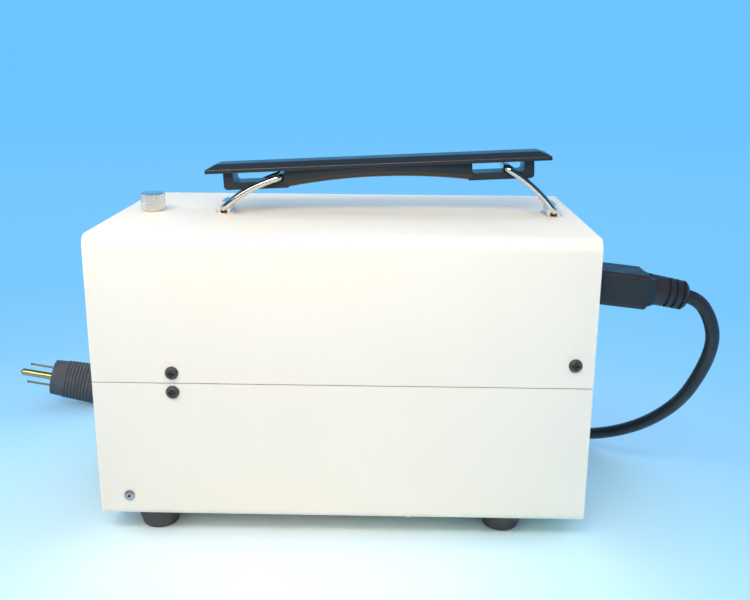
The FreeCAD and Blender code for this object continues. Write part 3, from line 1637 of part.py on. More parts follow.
def coil_direction(turns):
    """Direction of the coil at a point, from two points close to it."""
    near = 1e-4
    low = max(turns - near, 0)
    high = min(turns + near, coil_turns)
    way = coil_point(high) - coil_point(low)
    way.normalize()
    if turns in (0, coil_turns):
        way = Vector(-1, 0, 0)
    return way


def biarc(start, start_way, end, end_way):
    """Two arcs from start to end that leave and arrive in the given directions."""
    chord = end - start
    both = start_way + end_way
    square = 2 * (1 - start_way.dot(end_way))
    along = chord.dot(both)
    reach = (-along + math.sqrt(along ** 2 + square * chord.dot(chord))) / square
    first = start + start_way * reach
    second = end - end_way * reach
    joint = (first + second) * (1 / 2)
    arcs = []
    for low, corner, high in ((start, first, joint), (joint, second, end)):
        back = low - corner
        ahead = high - corner
        turn = math.pi - back.getAngle(ahead)
        middle = (low + high) * (1 / 2)
        outward = corner - middle
        outward.normalize()
        sagitta = (high - low).Length / 2 * math.tan(turn / 4)
        arcs.append(Part.Arc(low, middle + outward * sagitta, high).toShape())
    return arcs


def coil_path():
    """Centre line of the coil as biarcs of a quarter turn."""
    steps = 4 * coil_turns
    edges = []
    for index in range(steps):
        low = index / 4
        high = (index + 1) / 4
        edges += biarc(coil_point(low), coil_direction(low), coil_point(high), coil_direction(high))
    return Part.Wire(edges)


def coil_least_gap(path):
    """Least distance of the coil's surface to itself, measured on points of its path."""
    count = int(path.Length / cord_radius)
    points = path.discretize(count)
    apart = path.Length / (count - 1)
    skip = int(math.pi * 2 * cord_radius / apart) + 1
    least = path.Length
    for index, point in enumerate(points):
        for other in points[index + skip:]:
            least = min(least, point.distanceToPoint(other))
    return least - 2 * cord_radius


def cord_coil():
    """Put-away length of the lead in two layers behind the housing."""
    path = coil_path()
    section = Part.Wire(Part.makeCircle(cord_radius, coil_point(0), Vector(-1, 0, 0)))
    coil = path.makePipeShell([section], True, False)
    expected = math.pi * cord_radius ** 2 * path.Length
    print("cord_coil length", round(path.Length, 1), "volume share", round(coil.Volume / expected, 4))
    print("cord_coil least gap", round(coil_least_gap(path), 2))
    return coil


def cord_tie():
    """Strap round the coil's turns, on the side away from the housing."""
    nearest = coil_point(coil_turns / 2).y - cord_radius - tie_gap - tie_slack
    y = (nearest, coil_point(1 / 2).y + cord_radius + tie_gap)
    z = (tie_thickness, tie_thickness + 2 * tie_gap + 2 * cord_radius + coil_layer)
    inner = rounded(block(span(coil_x, tie_width), y, z), tie_corner, X_AXIS, everywhere)
    around = tie_thickness
    outer_y = (y[0] - around, y[1] + around)
    outer_z = (z[0] - around, z[1] + around)
    outer = rounded(block(span(coil_x, tie_width), outer_y, outer_z), tie_corner + around, X_AXIS, everywhere)
    return outer.cut(inner)


def plug_axes():
    """Directions of the plug: its prongs, from blade to blade, and to the ground pin."""
    yaw = math.radians(plug_yaw)
    pitch = math.radians(plug_pitch)
    roll = math.radians(plug_roll)
    ahead = Vector(-math.cos(yaw) * math.cos(pitch), math.sin(yaw) * math.cos(pitch), math.sin(pitch))
    upright = Z_AXIS - ahead * Z_AXIS.dot(ahead)
    upright.normalize()
    sideways = ahead.cross(upright) * -1
    across = upright * math.cos(roll) - sideways * math.sin(roll)
    ground = sideways * math.cos(roll) + upright * math.sin(roll)
    return ahead, across, ground


def plug_face():
    """Middle of the plug's face, between its body's axis and the prongs."""
    ahead, across, ground = plug_axes()
    return Vector(plug_x, plug_y, plug_z) + ground * plug_axis_offset


def plug_profile():
    """Outline of the plug's body: distance behind the face, radius."""
    profile = [(0, 0), (0, plug_face_radius), (plug_neck_length, plug_neck_radius)]
    for index in range(plug_rib_count):
        start = plug_neck_length + index * plug_rib_pitch
        radius = plug_rib_radius + index * plug_rib_growth
        profile += [(start + plug_rib_pitch / 4, radius), (start + 3 * plug_rib_pitch / 4, radius)]
        profile.append((start + plug_rib_pitch, radius - plug_rib_depth))
    taper_start = plug_neck_length + plug_rib_count * plug_rib_pitch
    taper_end = taper_start + plug_taper_length
    profile += [(taper_end, plug_taper_radius), (taper_end + relief_groove, plug_relief_radius)]
    profile += [(taper_end + plug_relief_length, plug_relief_radius), (taper_end + plug_relief_length, 0)]
    return profile


def mains_plug():
    """Moulded mains plug, its ribbed grip resting on the surface."""
    ahead, across, ground = plug_axes()
    body = turned(plug_profile(), plug_face(), ahead * -1)
    holes = [shape for shape in plug_blade_solids() + [ground_pin_solid()]]
    return cut(body, holes)


def plug_blade_solids():
    """Two flat blades with bevelled tips."""
    ahead, across, ground = plug_axes()
    blades = []
    for side in (-1, 1):
        foot = Vector(plug_x, plug_y, plug_z) + across * (side * prong_spacing / 2) - ahead * prong_seat
        outline = []
        shoulder = prong_length + prong_seat - prong_tip
        half = prong_width / 2
        for along, over in ((0, -half), (0, half), (shoulder, half), (shoulder + prong_tip, half - prong_tip),
                            (shoulder + prong_tip, prong_tip - half), (shoulder, -half)):
            outline.append(foot + ahead * along + ground * over - across * (prong_thickness / 2))
        blades.append(prism(outline, across * prong_thickness))
    return blades


def ground_pin_solid():
    """Round ground pin with a domed tip."""
    ahead, across, ground = plug_axes()
    foot = Vector(plug_x, plug_y, plug_z) + ground * ground_offset - ahead * prong_seat
    shoulder = ground_length + prong_seat - prong_tip
    profile = [(0, 0), (0, ground_radius), (shoulder, ground_radius)]
    profile += [(shoulder + prong_tip, ground_radius - prong_tip), (shoulder + prong_tip, 0)]
    return turned(profile, foot, ahead)


def plug_blades():
    """Both blades as one group."""
    return Part.makeCompound(plug_blade_solids())


def plug_cord_end():
    """Where the lead enters the plug's strain relief."""
    ahead, across, ground = plug_axes()
    return plug_face() - ahead * plug_profile()[-1][0]


def route_points(points):
    """Route points as vectors."""
    return [Vector(*point) for point in points]


def cord_lead():
    """Free stretch from the connector down to the coil."""
    start = cord_start()
    exit_point = start + drooping(relief_droop) * lead_exit_run
    entry = coil_point(0) + X_AXIS * coil_entry_run
    points = [start, exit_point] + route_points(lead_points) + [entry, coil_point(0)]
    return cord_tube(points, "cord_lead")


def cord_tail():
    """Free stretch from the coil to the plug."""
    leave = coil_point(coil_turns) - X_AXIS * coil_exit_run
    arrive = plug_cord_end() - plug_axes()[0] * plug_exit_run
    points = [coil_point(coil_turns), leave] + route_points(tail_points) + [arrive, plug_cord_end()]
    return cord_tube(points, "cord_tail")


PARTS = {
    "upper_cover": upper_cover,
    "lower_chassis": lower_chassis,
    "seam_rails": seam_rails,
    "front_panel": front_panel,
    "rear_panel": rear_panel,
    "case_screws": case_screws,
    "panel_rivets": panel_rivets,
    "rubber_feet": rubber_feet,
    "foot_screws": foot_screws,
    "foot_nuts": foot_nuts,
    "handle_grip": handle_grip,
    "ring_left": lambda: ring(pivot_left_x, ring_left_angle, 1),
    "ring_right": lambda: ring(pivot_right_x, ring_right_angle, -1),
    "bracket_left": lambda: bracket(pivot_left_x),
    "bracket_right": lambda: bracket(pivot_right_x),
    "light_guide_port": light_guide_port,
    "port_screws": port_screws,
    "clamp_bush": clamp_bush,
    "thumb_screw": thumb_screw,
    "lamp_bulkhead": lamp_bulkhead,
    "heat_filter": heat_filter,
    "filter_ring": filter_ring,
    "lamp_reflector": lamp_reflector,
    "lamp_base": lamp_base,
    "lamp_bulb": lamp_bulb,
    "lamp_socket": lamp_socket,
    "lamp_holder": lamp_holder,
    "transformer_tray": transformer_tray,
    "tray_screws": tray_screws,
    "transformer_core": transformer_core,
    "transformer_bobbin": transformer_bobbin,
    "transformer_winding": transformer_winding,
    "transformer_clamp": transformer_clamp,
    "control_board": control_board,
    "board_standoffs": board_standoffs,
    "heat_sink": heat_sink,
    "intensity_knob": intensity_knob,
    "pot_shaft": pot_shaft,
    "potentiometer": potentiometer,
    "switch_frame": switch_frame,
    "switch_rocker": switch_rocker,
    "fan_frame": fan_frame,
    "fan_rotor": fan_rotor,
    "fan_guard": fan_guard,
    "fan_screws": fan_screws,
    "power_inlet": power_inlet,
    "inlet_contacts": inlet_contacts,
    "fuse_drawer": fuse_drawer,
    "fuse": fuse,
    "power_connector": power_connector,
    "cord_lead": cord_lead,
    "cord_coil": cord_coil,
    "cord_tail": cord_tail,
    "cord_tie": cord_tie,
    "mains_plug": mains_plug,
    "plug_blades": plug_blades,
    "plug_ground_pin": ground_pin_solid,
}


def main():
    """Write each piece to its own STEP file in the object's frame."""
    os.makedirs("parts", exist_ok=True)
    for name, make in PARTS.items():
        shape = make()
        shape.translate(Vector(frame_shift, 0, 0))
        shape.exportStep("parts/" + name + ".step")


main()
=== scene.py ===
"""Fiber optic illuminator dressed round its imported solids, in metres."""
import math

import bmesh
import bpy
from mathutils import Matrix, Vector


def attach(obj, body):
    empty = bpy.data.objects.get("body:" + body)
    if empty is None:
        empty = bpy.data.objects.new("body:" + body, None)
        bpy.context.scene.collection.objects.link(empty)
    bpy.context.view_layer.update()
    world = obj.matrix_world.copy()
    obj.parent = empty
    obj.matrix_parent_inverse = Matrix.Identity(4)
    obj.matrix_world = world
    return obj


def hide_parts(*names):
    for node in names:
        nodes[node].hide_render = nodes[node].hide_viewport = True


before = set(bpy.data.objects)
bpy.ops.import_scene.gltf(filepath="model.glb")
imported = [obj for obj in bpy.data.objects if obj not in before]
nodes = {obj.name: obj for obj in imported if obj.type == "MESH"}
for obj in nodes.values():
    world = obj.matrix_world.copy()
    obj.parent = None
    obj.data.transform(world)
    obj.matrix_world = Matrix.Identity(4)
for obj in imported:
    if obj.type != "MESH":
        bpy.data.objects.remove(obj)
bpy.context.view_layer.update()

MM = 0.001
SHIFT_X = 5.6
MM_PER_METRE = 1000
WAVE_RADIANS = 20


def mm(x, y, z):
    """Point given in millimetres from the middle of the housing."""
    return Vector(((x + SHIFT_X) * MM, y * MM, z * MM))


# Materials


def linear(code):
    """Linear colour of an sRGB hex value."""
    channels = []
    for index in (0, 2, 4):
        value = int(code[index:index + 2], 16) / 255
        straight, curved = value / 12.92, ((value + 0.055) / 1.055) ** 2.4
        channels.append(straight if value <= 0.04045 else curved)
    return (*channels, 1.0)


def add_node(tree, kind, links=None, **settings):
    """A node with its input values and links; other settings are its attributes."""
    node = tree.nodes.new(kind)
    inputs = settings.pop("inputs", {})
    for name, value in settings.items():
        setattr(node, name, value)
    for name, value in inputs.items():
        node.inputs[name].default_value = value
    for name, socket in (links or {}).items():
        tree.links.new(socket, node.inputs[name])
    return node


def new_material(name, colour, roughness, metallic=0.0, **sockets):
    """Material with its shader; more constants go straight on the shader's sockets."""
    material = bpy.data.materials.new(name)
    material.use_nodes = True
    tree = material.node_tree
    shader = tree.nodes["Principled BSDF"]
    shader.inputs["Base Color"].default_value = linear(colour)
    shader.inputs["Roughness"].default_value = roughness
    shader.inputs["Metallic"].default_value = metallic
    for socket, value in sockets.items():
        shader.inputs[socket.replace("_", " ")].default_value = value
    place = add_node(tree, "ShaderNodeTexCoord").outputs["Object"]
    return material, tree, shader, place


def maths(tree, operation, first, second):
    """Output of a math node on a socket and on a second socket or number."""
    node = add_node(tree, "ShaderNodeMath", {0: first}, operation=operation)
    if isinstance(second, float):
        node.inputs[1].default_value = second
    else:
        tree.links.new(second, node.inputs[1])
    return node.outputs[0]


def remap(tree, value, start, end, low, high, **settings):
    """Value that goes from low to high between start and end."""
    return add_node(tree, "ShaderNodeMapRange", {"Value": value}, inputs={
        "From Min": start, "From Max": end, "To Min": low, "To Max": high},
        **settings).outputs["Result"]


def mottle(tree, place, size, detail=2.0):
    """Noise whose blotches are about size millimetres across."""
    return add_node(tree, "ShaderNodeTexNoise", {"Vector": place}, inputs={
        "Scale": MM_PER_METRE / size / 2, "Detail": detail}).outputs["Fac"]


def bands(tree, place, direction, size, distortion):
    """Bands across an axis, each 2 pi times size millimetres wide."""
    return add_node(tree, "ShaderNodeTexWave", {"Vector": place}, wave_type="BANDS",
                    bands_direction=direction, inputs={
                        "Scale": MM_PER_METRE / size / WAVE_RADIANS,
                        "Distortion": distortion}).outputs["Fac"]


def cells(tree, place, size):
    """Cells about size millimetres across, rising from their middles."""
    return add_node(tree, "ShaderNodeTexVoronoi", {"Vector": place}, inputs={
        "Scale": MM_PER_METRE / size}).outputs["Distance"]


def tint(tree, shader, fac, low, high, start=0.3, end=0.7):
    """Colour that wanders between two hex values."""
    ramp = add_node(tree, "ShaderNodeValToRGB", {"Fac": fac})
    ramp.color_ramp.elements[0].position = start
    ramp.color_ramp.elements[0].color = linear(low)
    ramp.color_ramp.elements[1].position = end
    ramp.color_ramp.elements[1].color = linear(high)
    tree.links.new(ramp.outputs["Color"], shader.inputs["Base Color"])


def vary_roughness(tree, shader, fac, low, high):
    """Roughness that wanders between two values."""
    tree.links.new(remap(tree, fac, 0.3, 0.7, low, high), shader.inputs["Roughness"])


def bump(tree, shader, height, depth, strength=1.0):
    """Relief whose full height is depth millimetres."""
    node = add_node(tree, "ShaderNodeBump", {"Height": height}, inputs={
        "Strength": strength, "Distance": depth * MM})
    tree.links.new(node.outputs["Normal"], shader.inputs["Normal"])


def powder_coat():
    """Textured powder coat on sheet steel: orange peel with grains about 1.3 mm across."""
    material, tree, shader, place = new_material("powder_coat", "F6ECDA", 0.5)
    tint(tree, shader, mottle(tree, place, 60.0), "F5EAD8", "F8EEDD")
    vary_roughness(tree, shader, mottle(tree, place, 9.0), 0.46, 0.56)
    bump(tree, shader, mottle(tree, place, 1.3, 3.0), 0.3)
    return material


def panel_enamel():
    """Satin baked enamel on the end panels, with a fine grain."""
    material, tree, shader, place = new_material("panel_enamel", "2B2C2E", 0.45)
    tint(tree, shader, mottle(tree, place, 25.0), "292A2C", "303133")
    vary_roughness(tree, shader, mottle(tree, place, 6.0), 0.40, 0.52)
    bump(tree, shader, mottle(tree, place, 0.9), 0.04, 0.5)
    return material


def zinc_plate():
    """Zinc-plated sheet steel: bluish grey with soft crystal patches."""
    material, tree, shader, place = new_material("zinc_plate", "B4B6B8", 0.36, 1.0)
    tint(tree, shader, mottle(tree, place, 7.0), "A9ABAE", "BFC1C2")
    vary_roughness(tree, shader, mottle(tree, place, 3.0), 0.30, 0.44)
    return material


def bright_chrome():
    """Polished chromium plate on wire; faint waviness breaks its reflections."""
    material, tree, shader, place = new_material("bright_chrome", "D9D6D0", 0.07, 1.0)
    vary_roughness(tree, shader, mottle(tree, place, 2.0), 0.05, 0.12)
    bump(tree, shader, mottle(tree, place, 4.0), 0.02, 0.5)
    return material


def satin_nickel():
    """Nickel plate, a little softer than chrome and nearly white."""
    material, tree, shader, place = new_material("satin_nickel", "ECEAE6", 0.32, 1.0)
    vary_roughness(tree, shader, mottle(tree, place, 1.5), 0.26, 0.38)
    return material


def turned_aluminium():
    """Aluminium with turning marks 2.5 mm apart along the port's axis."""
    material, tree, shader, place = new_material("turned_aluminium", "C9CACC", 0.30, 1.0)
    vary_roughness(tree, shader, mottle(tree, place, 5.0), 0.24, 0.38)
    bump(tree, shader, bands(tree, place, "X", 0.4, 0.3), 0.02, 0.4)
    return material


def black_oxide():
    """Black oxide on screws: dull, mottled with grey wear."""
    material, tree, shader, place = new_material("black_oxide", "45443F", 0.5, 0.2)
    tint(tree, shader, mottle(tree, place, 0.9), "3A3935", "504F49")
    vary_roughness(tree, shader, mottle(tree, place, 1.0), 0.40, 0.58)
    return material


def bumper_rubber():
    """Moulded rubber of the feet, dull, grained and faintly dusty."""
    material, tree, shader, place = new_material("bumper_rubber", "494746", 0.75)
    tint(tree, shader, mottle(tree, place, 3.0), "434140", "4F4D4C")
    bump(tree, shader, mottle(tree, place, 0.8), 0.05, 0.5)
    return material


def glossy_nylon():
    """Glossy black moulded nylon of the handle, with faint flow marks."""
    material, tree, shader, place = new_material("glossy_nylon", "262625", 0.3)
    tint(tree, shader, mottle(tree, place, 30.0), "242423", "2A2928")
    vary_roughness(tree, shader, mottle(tree, place, 12.0), 0.26, 0.36)
    bump(tree, shader, mottle(tree, place, 8.0), 0.03, 0.4)
    return material


def matt_abs():
    """Matt black moulded ABS with a fine spark texture."""
    material, tree, shader, place = new_material("matt_abs", "1E1E20", 0.55)
    tint(tree, shader, mottle(tree, place, 12.0), "1C1C1E", "232325")
    bump(tree, shader, mottle(tree, place, 0.7), 0.03, 0.6)
    return material


def cord_vinyl():
    """Soft vinyl jacket and overmoulds, satin black with a faint handling bloom."""
    material, tree, shader, place = new_material("cord_vinyl", "26272A", 0.42)
    tint(tree, shader, mottle(tree, place, 10.0), "232427", "2B2C30")
    vary_roughness(tree, shader, mottle(tree, place, 4.0), 0.36, 0.52)
    bump(tree, shader, mottle(tree, place, 1.0), 0.03, 0.5)
    return material


def clear_glass(name, colour, roughness):
    """Clear glass with a slight unevenness of polish."""
    material, tree, shader, place = new_material(
        name, colour, roughness, Transmission_Weight=1.0, IOR=1.5)
    vary_roughness(tree, shader, mottle(tree, place, 6.0), roughness, roughness + 0.03)
    return material


def coated_bowl():
    """Dichroic coating inside the lamp's glass bowl."""
    material, tree, shader, place = new_material("dichroic_coating", "B8A4C8", 0.18, 0.6)
    tint(tree, shader, mottle(tree, place, 12.0), "AD97C0", "C6B8CF")
    return material


def steatite():
    """Unglazed steatite of lamp cap and socket, chalky with small pores."""
    material, tree, shader, place = new_material("steatite", "E6E0D2", 0.8)
    tint(tree, shader, mottle(tree, place, 4.0), "DDD6C6", "EBE6DA")
    bump(tree, shader, mottle(tree, place, 0.9), 0.05, 0.6)
    return material


def laminated_core():
    """Stack of lacquered steel sheets: bands 3 mm wide across the stack."""
    material, tree, shader, place = new_material("laminated_core", "4A4744", 0.5, 0.6)
    stack = bands(tree, place, "Y", 0.5, 0.4)
    tint(tree, shader, stack, "3E3B39", "565350")
    bump(tree, shader, stack, 0.08, 0.6)
    return material


def winding_tape():
    """Yellow polyester tape over the winding, its tint and height drifting slowly upwards."""
    material, tree, shader, place = new_material("winding_tape", "D2A63A", 0.35)
    turns = bands(tree, place, "Z", 12, 0.2)
    tint(tree, shader, turns, "C99B30", "DAB04A", 0.1, 0.3)
    bump(tree, shader, turns, 0.1, 0.3)
    return material


def natural_nylon():
    """Natural nylon bobbin, milky, with flow marks."""
    material, tree, shader, place = new_material("natural_nylon", "DDD9CC", 0.45)
    tint(tree, shader, mottle(tree, place, 15.0), "D6D1C2", "E2DFD4")
    return material


def circuit_board():
    """Glass epoxy board with green mask and a faint weave of 1 mm cells."""
    material, tree, shader, place = new_material("circuit_board", "1F5A38", 0.35)
    weave = cells(tree, place, 1.0)
    tint(tree, shader, weave, "1B5233", "24643F", 0.1, 0.6)
    bump(tree, shader, weave, 0.03, 0.4)
    return material


def dull_nickel():
    """Nickel plate on the stamped blades, its base colour darkened as a painted dark reflection."""
    # Dark base colour: painted dark reflection on the blades seen edge-on.
    material, tree, shader, place = new_material("dull_nickel", "6A7478", 0.36, 1.0)
    tint(tree, shader, mottle(tree, place, 5.0), "626C70", "747D80")
    return material


def plated_brass():
    """Brass of pins, olive with slight tarnish."""
    material, tree, shader, place = new_material("bright_brass", "C0AC76", 0.32, 1.0)
    tint(tree, shader, mottle(tree, place, 6.0), "B8A36C", "C8B582")
    vary_roughness(tree, shader, mottle(tree, place, 4.0), 0.28, 0.36)
    return material


def plug_vinyl():
    """Hard vinyl of the plug, paler and duller than the cord and faintly dusty."""
    material, tree, shader, place = new_material("plug_vinyl", "565559", 0.7)
    tint(tree, shader, mottle(tree, place, 3.0), "504F53", "5E5D61")
    bump(tree, shader, mottle(tree, place, 0.8), 0.03, 0.5)
    return material


def hook_and_loop():
    """Black woven hook-and-loop tape with loops about 1 mm apart."""
    material, tree, shader, place = new_material("hook_and_loop", "1D1D1F", 0.95, Sheen_Weight=0.3)
    loops = cells(tree, place, 1.0)
    tint(tree, shader, loops, "161617", "2A2A2D", 0.1, 0.6)
    bump(tree, shader, loops, 0.2, 0.8)
    return material


vinyl = cord_vinyl()

worn_by = (
    (powder_coat(), ("upper_cover", "lower_chassis", "tray_screws")),
    (panel_enamel(), ("front_panel", "rear_panel")),
    (zinc_plate(), ("seam_rails", "panel_rivets", "foot_screws", "foot_nuts", "clamp_bush",
                    "lamp_bulkhead", "lamp_holder", "transformer_tray", "transformer_clamp",
                    "pot_shaft", "potentiometer")),
    (bright_chrome(), ("ring_left", "ring_right", "fan_guard")),
    (satin_nickel(), ("thumb_screw", "inlet_contacts", "bracket_left", "bracket_right")),
    # The blades' dark nickel is a painted dark reflection.
    (dull_nickel(), ("plug_blades",)),
    (turned_aluminium(), ("light_guide_port", "filter_ring", "heat_sink")),
    (black_oxide(), ("case_screws", "port_screws", "fan_screws")),
    (bumper_rubber(), ("rubber_feet",)),
    (glossy_nylon(), ("handle_grip", "switch_rocker")),
    (matt_abs(), ("intensity_knob", "switch_frame", "fan_frame", "fan_rotor", "power_inlet",
                  "fuse_drawer")),
    (vinyl, ("power_connector", "cord_lead", "cord_coil", "cord_tail")),
    (plug_vinyl(), ("mains_plug",)),
    (hook_and_loop(), ("cord_tie",)),
    (clear_glass("filter_glass", "CFE8DC", 0.02), ("heat_filter",)),
    (clear_glass("quartz_glass", "F2F4F5", 0.01), ("lamp_bulb", "fuse")),
    (coated_bowl(), ("lamp_reflector",)),
    (steatite(), ("lamp_base", "lamp_socket")),
    (laminated_core(), ("transformer_core",)),
    (winding_tape(), ("transformer_winding",)),
    (natural_nylon(), ("transformer_bobbin",)),
    (circuit_board(), ("control_board",)),
    (plated_brass(), ("board_standoffs", "plug_ground_pin")),
)

for finish, names in worn_by:
    for name in names:
        slots = nodes[name].data.materials
        slots.clear()
        slots.append(finish)


# Print and pointer, in millimetres and degrees

FRONT_X = -126.0
CONTROL_Z = 54.7
KNOB_Y = 36.0
SWITCH_Y = -36.0
KNOB_FACE = -141.8

INK = 0.05
LIFT = 0.01
DIAL_STEPS = 10
DIAL_TURN = 300
TICK_START = 16.4
TICK_END = 19.0
LONG_HALF = 0.35
SHORT_HALF = 0.22
NUMBER_RADIUS = 22.4
LETTER_HEIGHT = 2.6
FONT_PER_LETTER = 1.4
WORD_OFFSET = 17.6

POINTER_HALF = 0.62
POINTER_START = 0.2
POINTER_END = 11.2
POINTER_TOP = 0.15
POINTER_BOTTOM = 0.45


def print_ink():
    """White screen ink on the panel and in the knob's groove, slightly uneven."""
    material, tree, shader, place = new_material("print_ink", "E6E6E1", 0.6)
    tint(tree, shader, mottle(tree, place, 1.5), "DCDCD6", "ECECE8")
    return material


ink = print_ink()


def own_piece(name, shape, body):
    """Inked object of the scene that rides a body of the frame."""
    bmesh.ops.recalc_face_normals(shape, faces=shape.faces)
    mesh = bpy.data.meshes.new(name)
    shape.to_mesh(mesh)
    shape.free()
    mesh.materials.append(ink)
    piece = bpy.data.objects.new(name, mesh)
    bpy.context.collection.objects.link(piece)
    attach(piece, body)


def add_slab(shape, corners, low_x, high_x):
    """Flat slab between two x planes, its outline given as y and z pairs."""
    rings = [[shape.verts.new(mm(x, y, z)) for y, z in corners] for x in (low_x, high_x)]
    shape.faces.new(rings[0])
    shape.faces.new(list(reversed(rings[1])))
    for index in range(len(corners)):
        other = (index + 1) % len(corners)
        shape.faces.new((rings[0][other], rings[0][index], rings[1][index], rings[1][other]))


def add_words(shape, words, y, z):
    """Printed words centred on a point of the front panel, seen from outside."""
    font = bpy.data.curves.new("words", "FONT")
    font.body = words
    font.size = LETTER_HEIGHT * FONT_PER_LETTER * MM
    font.align_x = "CENTER"
    font.align_y = "CENTER"
    font.extrude = INK / 2 * MM
    holder = bpy.data.objects.new("words", font)
    mesh = bpy.data.meshes.new_from_object(holder)
    outward = Matrix(((0, 0, -1), (-1, 0, 0), (0, 1, 0))).to_4x4()
    mesh.transform(Matrix.Translation(mm(FRONT_X - LIFT - INK / 2, y, z)) @ outward)
    shape.from_mesh(mesh)
    bpy.data.objects.remove(holder)


def panel_print():
    """Dial of eleven ticks with even numbers round the knob, and the switch's two words."""
    shape = bmesh.new()
    centre = Vector((KNOB_Y, CONTROL_Z))
    for step in range(DIAL_STEPS + 1):
        numbered = step % 2 == 0
        angle = math.radians(DIAL_TURN / DIAL_STEPS * step - DIAL_TURN / 2)
        across = Vector((math.cos(angle), math.sin(angle))) * (LONG_HALF if numbered else SHORT_HALF)
        out = Vector((-math.sin(angle), math.cos(angle)))
        inner, outer = centre + out * TICK_START, centre + out * TICK_END
        corners = [inner - across, inner + across, outer + across, outer - across]
        add_slab(shape, corners, FRONT_X - LIFT - INK, FRONT_X - LIFT)
        if numbered:
            add_words(shape, str(step), *(centre + out * NUMBER_RADIUS))
    add_words(shape, "OFF", SWITCH_Y, CONTROL_Z + WORD_OFFSET)
    add_words(shape, "ON", SWITCH_Y, CONTROL_Z - WORD_OFFSET)
    own_piece("panel_print", shape, "case")


def knob_pointer():
    """Ink that fills the knob's groove to just below its face."""
    shape = bmesh.new()
    low, high = CONTROL_Z + POINTER_START, CONTROL_Z + POINTER_END
    corners = [(KNOB_Y - POINTER_HALF, low), (KNOB_Y + POINTER_HALF, low),
               (KNOB_Y + POINTER_HALF, high), (KNOB_Y - POINTER_HALF, high)]
    add_slab(shape, corners, KNOB_FACE + POINTER_TOP, KNOB_FACE + POINTER_BOTTOM)
    own_piece("knob_pointer", shape, "knob")


panel_print()
knob_pointer()


# Camera, in millimetres and degrees

CAMERA_PLACE = (25.1, -506.6, 248.6)
CAMERA_TURN = (1.1001, 15.19, 0.4168)
LENS = 43.75
SENSOR = 36


def look_from_photo():
    """Camera at the photograph's place, with its lens, tilt and slight roll."""
    yaw, pitch, roll = (math.radians(angle) for angle in CAMERA_TURN)
    ahead = Vector((-math.sin(yaw) * math.cos(pitch), math.cos(yaw) * math.cos(pitch),
                    -math.sin(pitch)))
    level = Vector((math.cos(yaw), math.sin(yaw), 0))
    upright = level.cross(ahead)
    right = level * math.cos(roll) + upright * math.sin(roll)
    up = upright * math.cos(roll) - level * math.sin(roll)
    camera = bpy.data.objects.new("camera", bpy.data.cameras.new("camera"))
    camera.data.lens = LENS
    camera.data.sensor_width = SENSOR
    camera.data.clip_start = 10 * MM
    turn = Matrix((right, up, -ahead)).transposed().to_4x4()
    camera.matrix_world = Matrix.Translation(mm(*CAMERA_PLACE)) @ turn
    bpy.context.collection.objects.link(camera)
    bpy.context.scene.camera = camera


look_from_photo()


# Cord, in millimetres

CORD_RADIUS = 3.6
COIL_MIDDLE = (20.0, 135.0)
COIL_RADIUS = 50.6
COIL_HEIGHT = 5.1
COIL_TURNS = 5
COIL_STEPS = 16
COIL_INWARD = 2.25
COIL_PITCH = 7.9
LEAD_ROUTE = (
    (175.79, -50.0, 128.91), (182.66, -50.0, 127.57), (190.4, -49.0, 116.8), (195.2, -44.5, 102.5),
    (194.2, -33.5, 81.5), (190.3, -13.0, 55.0), (176.5, 12.0, 30.5), (157.5, 37.5, 13.5),
    (146.0, 60.5, 5.0), (127.0, 78.5, 3.7), (97.0, 86.5, 3.65), (50.0, 84.4, 5.1))
TAIL_ROUTE = (
    (-4.0, 84.4, 13.0), (-34.0, 87.0, 6.5), (-66.0, 95.5, 3.7), (-97.0, 107.0, 3.62),
    (-118.0, 114.3, 3.66), (-140.68, 117.46, 4.89), (-160.19, 115.58, 8.87))


def coil_point(turns):
    """Point of the coil, clockwise from above: inwards below, then up and outwards."""
    climb = min(max((turns - COIL_INWARD) * 2, 0), 1)
    outwards = max(turns - COIL_INWARD - 0.5, 0)
    steps = min(turns, COIL_INWARD) + climb / 2 - climb ** 2 / 2 - outwards
    radius = COIL_RADIUS - COIL_PITCH * steps
    height = COIL_HEIGHT + COIL_PITCH * (3 * climb ** 2 - 2 * climb ** 3)
    angle = -math.pi / 2 - 2 * math.pi * turns
    x, y = COIL_MIDDLE
    return (x + radius * math.cos(angle), y + radius * math.sin(angle), height)


def mains_lead():
    """The whole lead: down from the connector, round the put-away coil and on to the plug."""
    coil = [coil_point(step / COIL_STEPS) for step in range(COIL_TURNS * COIL_STEPS + 1)]
    points = [mm(*point) for point in (*LEAD_ROUTE, *coil, *TAIL_ROUTE)]
    curve = bpy.data.curves.new("mains_lead", "CURVE")
    curve.dimensions = "3D"
    curve.bevel_depth = CORD_RADIUS * MM
    curve.bevel_resolution = 6
    curve.resolution_u = 8
    curve.use_fill_caps = True
    spline = curve.splines.new("NURBS")
    spline.points.add(len(points) - 1)
    for place, point in zip(spline.points, points):
        place.co = (*point, 1)
    spline.order_u = 3
    spline.use_endpoint_u = True
    lead = bpy.data.objects.new("mains_lead", curve)
    bpy.context.collection.objects.link(lead)
    curve.materials.append(vinyl)
    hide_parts("cord_lead", "cord_coil", "cord_tail")
    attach(lead, "case")


mains_lead()


# Stage, in metres

BACKDROP = "6EC4FF"
FLOOR_REACH = 30.0
# Painted pool of light: the floor is painted white here, below the strip lamp.
PAINTED_POOL_BACK = -0.14
PAINTED_POOL_FRONT = -0.5
PAINTED_POOL_X = -0.03
FADE_REACH = 3.0
GLOW_START = 0.18
GLOW_FULL = 0.5


def seen_directly(tree):
    """One for rays from the camera, from gloss and through glass, else nought."""
    rays = add_node(tree, "ShaderNodeLightPath").outputs
    seen = maths(tree, "MAXIMUM", rays["Is Camera Ray"], rays["Is Glossy Ray"])
    return maths(tree, "MAXIMUM", seen, rays["Is Transmission Ray"])


